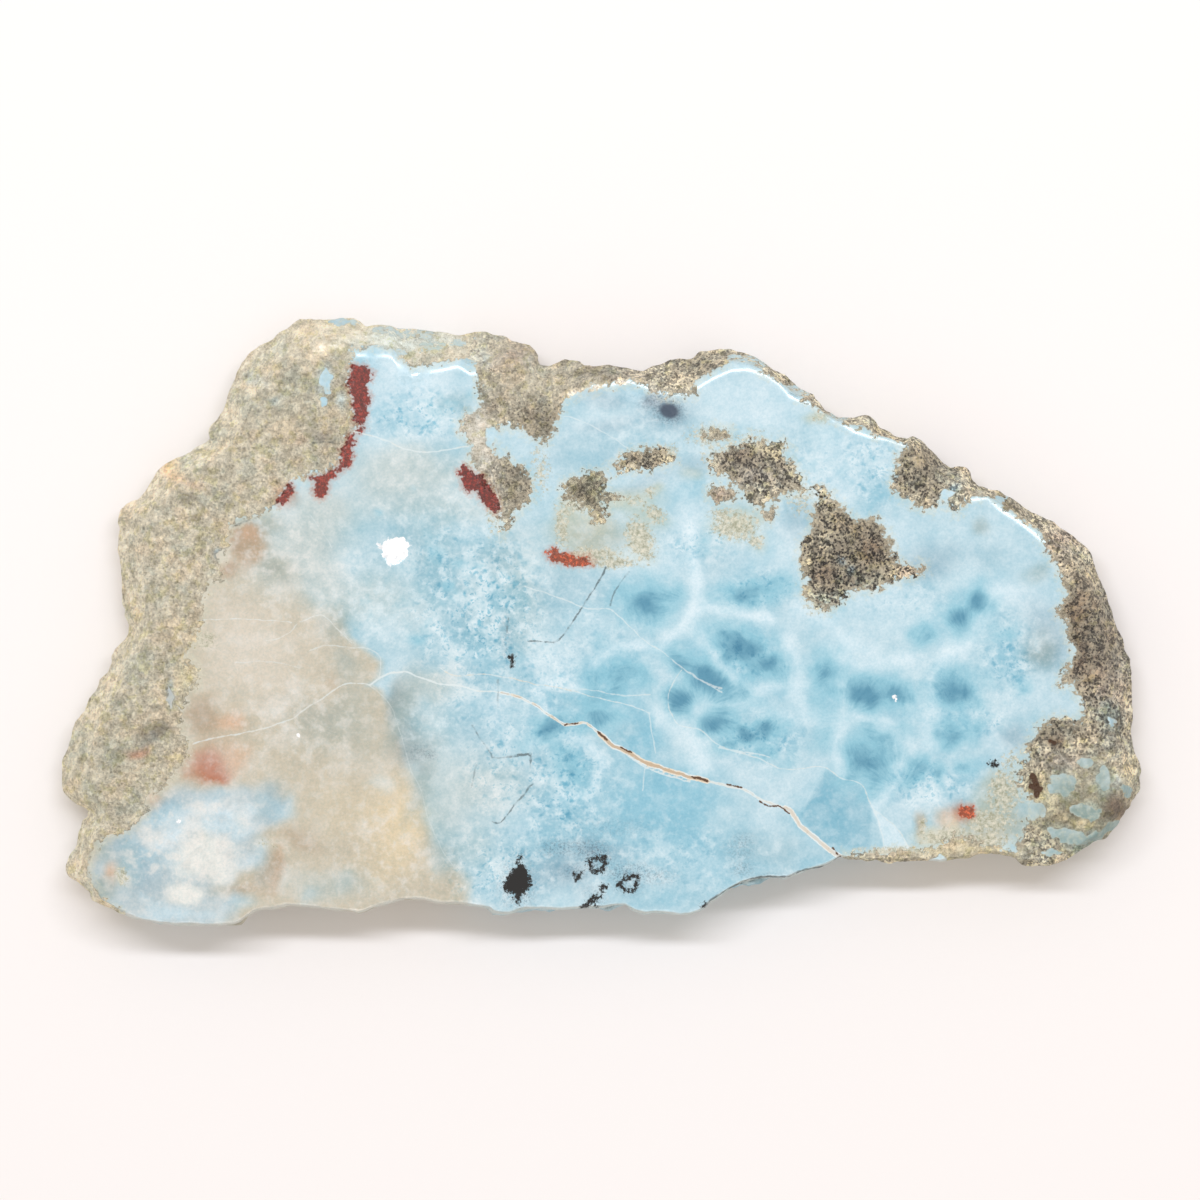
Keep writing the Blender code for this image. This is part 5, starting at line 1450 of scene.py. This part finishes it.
def stone_material():
    material = bpy.data.materials.new("larimar_and_matrix")
    n = Nodes(material)
    place = n.node("ShaderNodeTexCoord", out="Object")
    place = n.node("ShaderNodeVectorMath", place, (1000, 1000, 1000), operation="MULTIPLY")
    blue = blue_stone(n, place)
    rock, rock_height = matrix_rock(n, place)
    ragged = n.math("SUBTRACT", n.noise(place, 1.3, 4, 0.6), 0.5)
    depth = n.math("MULTIPLY_ADD", ragged, 4.4, n.attribute("rock"))
    is_rock = n.ramp(depth, -0.2, 0.2)
    halo = n.math("MULTIPLY", n.ramp(depth, -1.3, 0.0), 0.4)
    blue = n.mix(blue, (0.58, 0.60, 0.47, 1), halo)
    blue = crusted(n, place, blue)
    rim = n.math("MULTIPLY", n.ramp(depth, 1.0, 0.3), n.attribute("speck"))
    rim = n.math("MULTIPLY", rim, n.ramp(n.noise(place, 0.45, 4), 0.42, 0.52))
    rock = n.mix(rock, (0.6, 0.54, 0.4, 1), n.math("MULTIPLY", rim, 0.7))
    colour = n.mix(blue, rock, is_rock)
    colour = marks(n, place, colour)
    # The chip's mask also holds the small painted highlights, which take the same white
    chip = n.ramp(n.math("MULTIPLY_ADD", ragged, 1.3, n.attribute("chip")), -0.05, 0.08)
    flake = n.ramp(n.noise(place, 0.9, 4, 0.7), 0.5, 0.4)
    colour = n.mix(colour, n.mix((0.97, 0.98, 0.98, 1), (0.7, 0.74, 0.76, 1), flake), chip)
    n.feed(n.shader.inputs["Base Color"], colour)
    wall = n.ramp(n.attribute("outside"), -0.4, 0.2)
    rock_rough = n.ramp(n.noise(place, 1.1, 3), 0.44, 0.52, 0.2, 0.7)
    rough = n.blend(0.16, rock_rough, n.ramp(depth, -0.6, -0.1))
    dull = n.math("MULTIPLY", n.ramp(n.noise(place, 1.3, 3), 0.4, 0.5), n.attribute("dull"))
    rough = n.blend(rough, 0.6, dull)
    rough = n.blend(rough, 0.6, n.ramp(n.attribute("window"), 0.05, 0.2))
    rough = n.blend(rough, 0.85, n.math("MAXIMUM", wall, chip))
    rough = n.blend(rough, 0.14, n.attribute("gloss"))
    rough = n.blend(rough, 0.55, n.attribute("sawn"))
    n.feed(n.shader.inputs["Roughness"], rough)
    n.shader.inputs["IOR"].default_value = 1.6
    bump = n.tree.nodes.new("ShaderNodeBump")
    bump.inputs["Strength"].default_value = 1.0
    bump.inputs["Distance"].default_value = 0.0003
    amount = n.math("MULTIPLY", wall, 0.4)
    amount = n.math("MAXIMUM", is_rock, amount)
    amount = n.math("MULTIPLY", amount, n.math("MULTIPLY_ADD", n.attribute("gloss"), -0.95, 1.0))
    n.feed(bump.inputs["Height"], n.math("MULTIPLY", rock_height, amount))
    n.feed(n.shader.inputs["Normal"], bump.outputs[0])
    return material


def tinted(n, tone, factor, amount):
    """A tone with another colour multiplied in by an amount."""
    factor = (*factor, 1) if isinstance(factor, tuple) else factor
    return n.mix(tone, n.mix(tone, factor, 1.0, "MULTIPLY"), amount)


def blue_cells(n, place, tone):
    """The deep blue cells, with edges drawn out in fibres."""
    parts = n.tree.nodes.new("ShaderNodeSeparateXYZ")
    n.feed(parts.inputs[0], n.attribute("cell", "Vector"))
    flat = n.node("ShaderNodeCombineXYZ", parts.outputs[0], parts.outputs[1])
    ray = n.node("ShaderNodeVectorMath", flat, operation="NORMALIZE")
    away = n.node("ShaderNodeVectorMath", flat, operation="LENGTH", out=1)
    ray = n.node("ShaderNodeVectorMath", ray, (8, 8, 8), operation="MULTIPLY")
    reach = n.node("ShaderNodeCombineXYZ", 0.0, 0.0, n.math("MULTIPLY", away, 0.45))
    fibre = n.noise(n.node("ShaderNodeVectorMath", ray, reach, operation="ADD"), 1.0, 4, 0.6)
    swing = n.math("MULTIPLY", n.math("SUBTRACT", fibre, 0.5), n.ramp(away, 0.5, 3.0))
    weight = n.math("MULTIPLY_ADD", swing, 0.3, parts.outputs[2])
    uneven = n.math("SUBTRACT", n.noise(place, 0.33, 2, 0.4), 0.5)
    weight = n.math("MULTIPLY_ADD", uneven, 0.8, weight)
    weight = n.math("MULTIPLY", weight, n.ramp(parts.outputs[2], 0.0, 0.25))
    tone = n.mix(tone, (0.25, 0.53, 0.64, 1), n.ramp(weight, 0.0, 0.7, 0.0, 0.92))
    streak = n.math("MULTIPLY", n.ramp(swing, -0.02, 0.1), 0.3)
    tone = n.mix(tone, (0.09, 0.28, 0.4, 1), n.ramp(weight, 0.4, 0.95, 0.0, 1.0))
    return tinted(n, tone, (0.62, 0.8, 0.86), n.math("MULTIPLY", streak, n.ramp(weight, 0.4, 0.7)))


def blue_stone(n, place):
    """Soft clouds, the blue cells and fine mottling on the painted tone."""
    tone = n.attribute("tone", "Color")
    pale = n.attribute("pale")
    mottled = n.attribute("mottle")
    dark = n.mix((0.7, 0.86, 0.905, 1), (0.86, 0.875, 0.88, 1), pale)
    light = n.mix((0.7, 0.82, 0.86, 1), (0.74, 0.74, 0.7, 1), pale)
    shown = n.blend(0.28, 0.95, n.math("MAXIMUM", mottled, n.attribute("veil")))
    for scale, detail, reach, strength in ((0.22, 2, 0.18, 0.8), (0.6, 3, 0.17, 0.8),
                                           (1.5, 3, 0.17, 0.4)):
        cloud = n.noise(place, scale, detail, 0.5)
        amount = n.math("MULTIPLY", shown, strength)
        tone = tinted(n, tone, dark, n.math("MULTIPLY", n.ramp(cloud, 0.5, 0.5 - reach), amount))
        veil = n.math("MULTIPLY", n.ramp(cloud, 0.5, 0.5 + reach), amount)
        tone = n.mix(tone, light, n.math("MULTIPLY", veil, 0.8))
    tone = blue_cells(n, place, tone)
    bend = n.node("ShaderNodeVectorMath", n.noise(place, 0.9, 3, out="Color"), (2.4, 2.4, 2.4),
                  operation="MULTIPLY")
    strayed = n.node("ShaderNodeVectorMath", place, bend, operation="ADD")
    dots = n.ramp(n.grains(strayed, 0.75, out="Distance"), 0.55, 0.1)
    where = n.ramp(n.noise(place, 0.45, 2), 0.42, 0.58)
    small = n.ramp(n.grains(strayed, 1.4, out="Distance"), 0.5, 0.2)
    small = n.math("MULTIPLY", small, n.ramp(n.noise(place, 0.6, 3), 0.45, 0.55))
    dots = n.math("MAXIMUM", n.math("MULTIPLY", dots, where), n.math("MULTIPLY", small, 0.7))
    tone = tinted(n, tone, (0.36, 0.66, 0.77), n.math("MULTIPLY", dots, mottled))
    fine = n.noise(place, 3.2, 3, 0.6)
    tone = tinted(n, tone, (0.92, 0.96, 0.97), n.ramp(fine, 0.5, 0.62))
    return tinted(n, tone, (1.06, 1.04, 1.03), n.ramp(fine, 0.5, 0.38))


def matrix_rock(n, place):
    """Cream, olive and dark grains on the painted tone, with their relief."""
    # This rock tone holds painted light: it is lighter on the steep walls on the left
    tone = n.attribute("rock_tone", "Color")
    speck = n.attribute("speck")
    place = n.node("ShaderNodeVectorMath", place, (1, 1, 0.45), operation="MULTIPLY")
    bend = n.node("ShaderNodeVectorMath", n.noise(place, 2.4, 3, 0.6, out="Color"),
                  (0.25, 0.25, 0.25), operation="MULTIPLY")
    strayed = n.node("ShaderNodeVectorMath", place, bend, operation="ADD")
    hue = n.noise(place, 0.28, 4, 0.65)
    tone = tinted(n, tone, (1.1, 1.03, 0.98), n.ramp(hue, 0.52, 0.62))
    tone = tinted(n, tone, (0.87, 0.93, 0.97), n.ramp(hue, 0.48, 0.38))
    olive = n.noise(place, 0.7, 5, 0.65)
    tone = tinted(n, tone, (0.9, 0.9, 0.76), n.ramp(olive, 0.52, 0.6))
    cloud = n.math("MULTIPLY_ADD", n.noise(place, 0.6, 6, 0.85), 2.0, -1.0)
    fine = n.grains(strayed, 3.4)
    coarse = n.grains(strayed, 1.5)
    grain = n.math("MULTIPLY_ADD", fine, 0.9, n.math("MULTIPLY_ADD", coarse, 0.6, -0.75))
    value = n.math("ADD", cloud, grain)
    value = n.math("MULTIPLY_ADD", value, n.blend(0.4, 1.0, speck), 0.5)
    calm = n.math("MULTIPLY_ADD", cloud, 0.85, 0.5)
    soft = n.bands(calm, (0.15, (0.6, 0.62, 0.56)), (0.34, (1.15, 1.18, 1.16)),
                   (0.5, (1.48, 1.52, 1.56)), (0.7, (1.76, 1.82, 1.92)), (0.88, (1.95, 2.03, 2.2)))
    # Painted shade: thin darker lines where creases in the rock fall into shade
    painted_crease_shade = n.math("ABSOLUTE", n.math("SUBTRACT", n.noise(strayed, 1.2, 5, 0.6), 0.5))
    soft = tinted(n, soft, (0.55, 0.53, 0.45), n.math("MULTIPLY", n.ramp(painted_crease_shade, 0.016, 0.002), 0.7))
    hard = n.bands(value, (0.15, (0.13, 0.135, 0.14)), (0.34, (0.5, 0.52, 0.55)),
                   (0.5, (1.16, 1.2, 1.24)), (0.64, (1.8, 1.84, 1.84)), (0.82, (2.7, 2.7, 2.55)))
    tone = n.mix(tone, n.mix(soft, hard, speck), 1.0, "MULTIPLY")
    blotch = n.ramp(n.noise(strayed, 0.8, 5, 0.7), 0.52, 0.56)
    tone = n.mix(tone, (0.58, 0.51, 0.38, 1), n.math("MULTIPLY", n.math("MULTIPLY", blotch, speck), 0.6))
    spot = n.ramp(n.grains(strayed, 2.2, out="Distance"), 0.44, 0.34)
    spot = n.math("MULTIPLY", spot, n.ramp(n.noise(place, 0.8, 2), 0.47, 0.52))
    spot = n.math("MULTIPLY", n.math("MULTIPLY", spot, speck), 0.9)
    tone = n.mix(tone, (0.03, 0.026, 0.025, 1), spot)
    relief = n.math("MULTIPLY_ADD", n.noise(strayed, 1.1, 6, 0.65), 3.4, -1.7)
    swell = n.math("MULTIPLY_ADD", n.noise(place, 0.4, 3), 3.6, -1.8)
    relief = n.math("ADD", relief, swell)
    return tone, n.math("MULTIPLY_ADD", value, 0.3, relief)


def crusted(n, place, blue):
    """Thin grainy crusts of cream and olive rock in the blue stone."""
    grain = n.math("SUBTRACT", n.noise(place, 1.6, 6, 0.8), 0.5)
    crust = n.attribute("crust")
    amount = n.ramp(n.math("MULTIPLY_ADD", grain, 3.4, crust), 0.2, 0.6)
    amount = n.math("MULTIPLY", amount, n.ramp(crust, 0.02, 0.2))
    hue = n.bands(n.noise(place, 1.9, 5, 0.8), (0.38, (0.27, 0.27, 0.17)),
                  (0.46, (0.42, 0.42, 0.31)), (0.53, (0.55, 0.55, 0.44)), (0.61, (0.72, 0.68, 0.54)))
    return n.mix(blue, hue, n.math("MULTIPLY", amount, 0.85))


def marks(n, place, colour):
    """Veins, stains, dark cracks and one painted shadow line, the painted shade in open gaps and holes, and black
    dendrites over the stone's own colour.
    """
    ragged = n.math("SUBTRACT", n.noise(place, 2.6, 3, 0.6), 0.5)
    coarse = n.math("SUBTRACT", n.noise(place, 1.2, 3, 0.6), 0.5)
    stain = n.math("MULTIPLY_ADD", ragged, 1.1, n.attribute("stain"))
    stain = n.math("MULTIPLY_ADD", coarse, 1.9, stain)
    heat = n.bands(n.attribute("stain_bright"), (0.0, (0.13, 0.014, 0.01)),
                   (0.4, (0.17, 0.025, 0.016)), (1.0, (0.27, 0.055, 0.022)))
    heat = tinted(n, heat, (2.7, 2.5, 2.3), n.ramp(n.noise(place, 2.8, 5, 0.8), 0.5, 0.58))
    heat = tinted(n, heat, (0.5, 0.6, 0.7), n.ramp(n.noise(place, 1.7, 4, 0.7), 0.5, 0.4))
    colour = n.mix(colour, (0.46, 0.2, 0.12, 1), n.math("MULTIPLY", n.ramp(stain, -0.9, 0.1), 0.5))
    colour = n.mix(colour, heat, n.math("MULTIPLY", n.ramp(stain, -0.2, 0.12), 0.95))
    vein = n.math("MULTIPLY_ADD", ragged, 0.16, n.attribute("vein"))
    vein = n.math("MULTIPLY_ADD", coarse, 0.3, vein)
    core = n.math("MULTIPLY", n.ramp(vein, -0.1, -0.2), n.attribute("vein_warmth"))
    vein = n.math("MULTIPLY", n.ramp(vein, 0.09, -0.05), n.attribute("vein_strength"))
    warm = n.math("MULTIPLY", n.attribute("vein_warmth"), n.ramp(n.noise(place, 0.8, 2), 0.42, 0.58))
    white = n.mix((0.7, 0.79, 0.8, 1), (0.76, 0.68, 0.54, 1), warm)
    white = tinted(n, white, (0.62, 0.52, 0.42), n.math("MULTIPLY", n.ramp(ragged, 0.02, 0.2), warm))
    white = n.mix(white, (0.5, 0.38, 0.25, 1), core)
    colour = n.mix(colour, white, vein)
    # Painted shade: the open gaps of the main crack and the small holes in the rock are darkened to dark brown
    gap_shade = n.math("MULTIPLY_ADD", ragged, 0.5, n.attribute("gap_shade"))
    colour = n.mix(colour, (0.1, 0.05, 0.025, 1), n.ramp(gap_shade, 0.06, -0.06))
    crack = n.math("MULTIPLY_ADD", coarse, 0.5, n.attribute("crack"))
    crack = n.math("MULTIPLY", n.ramp(crack, 0.12, -0.05), n.attribute("crack_strength"))
    crack = n.math("MULTIPLY", crack, n.ramp(n.noise(place, 1.0, 3), 0.38, 0.55, 0.25, 1.0))
    colour = n.mix(colour, (0.07, 0.1, 0.11, 1), crack)
    dust = n.ramp(n.noise(place, 3.6, 4, 0.7), 0.46, 0.62, 0.12, 0.8)
    dust = n.math("MULTIPLY", dust, n.attribute("dust"))
    dust = n.math("MAXIMUM", dust, n.ramp(n.attribute("dust"), 0.6, 1.3, 0.0, 0.92))
    colour = n.mix(colour, (0.045, 0.07, 0.11, 1), dust)
    ink = n.math("MULTIPLY_ADD", n.math("SUBTRACT", n.noise(place, 2.4, 6, 0.75), 0.5), 3.0,
                 n.attribute("ink"))
    return n.mix(colour, (0.004, 0.005, 0.006, 1), n.ramp(ink, -0.2, 0.12))


def add_stone():
    points, faces, outside, broken, sawn = stone_mesh()
    mesh = bpy.data.meshes.new("larimar_stone")
    mesh.from_pydata(points.tolist(), [], faces)
    mesh.shade_smooth()
    paint(mesh, points, outside, broken, sawn)
    mesh.materials.append(stone_material())
    stone = bpy.data.objects.new("larimar_stone", mesh)
    bpy.context.scene.collection.objects.link(stone)
    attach(stone, "root")
    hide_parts("larimar_slab")


def add_camera():
    camera = bpy.data.objects.new("camera", bpy.data.cameras.new("camera"))
    camera.location = (-OUTLINE_CENTRE[0], -OUTLINE_CENTRE[1], EYE_HEIGHT)
    camera.data.sensor_width = 36
    camera.data.lens = 36 * (EYE_HEIGHT - THICKNESS) / (PHOTO_WIDTH * PIXEL)
    bpy.context.scene.collection.objects.link(camera)
    bpy.context.scene.camera = camera


def add_floor():
    mesh = bpy.data.meshes.new("floor")
    size = 3.0
    mesh.from_pydata([(-size, -size, 0), (size, -size, 0), (size, size, 0), (-size, size, 0)],
                     [], [(0, 1, 2, 3)])
    floor = bpy.data.objects.new("floor", mesh)
    material = bpy.data.materials.new("floor")
    material.use_nodes = True
    shader = material.node_tree.nodes["Principled BSDF"]
    shader.inputs["Base Color"].default_value = (0.87, 0.855, 0.845, 1)
    shader.inputs["Roughness"].default_value = 0.9
    shader.inputs["Specular IOR Level"].default_value = 0.0
    mesh.materials.append(material)
    bpy.context.scene.collection.objects.link(floor)


def add_light():
    data = bpy.data.lights.new("key", "AREA")
    data.shape = "RECTANGLE"
    data.size = 1.0
    data.size_y = 0.08
    data.energy = 4.9
    data.color = (1, 1.02, 1.1)
    light = bpy.data.objects.new("key", data)
    light.location = KEY_PLACE
    light.rotation_euler = KEY_PLACE.to_track_quat("Z", "Y").to_euler()
    bpy.context.scene.collection.objects.link(light)
    world = bpy.data.worlds.new("studio")
    bpy.context.scene.world = world
    world.use_nodes = True
    world.node_tree.nodes["Background"].inputs["Color"].default_value = (0.728, 0.67, 0.62, 1)


add_stone()
add_camera()
add_floor()
add_light()
bpy.context.scene.view_settings.view_transform = "Standard"
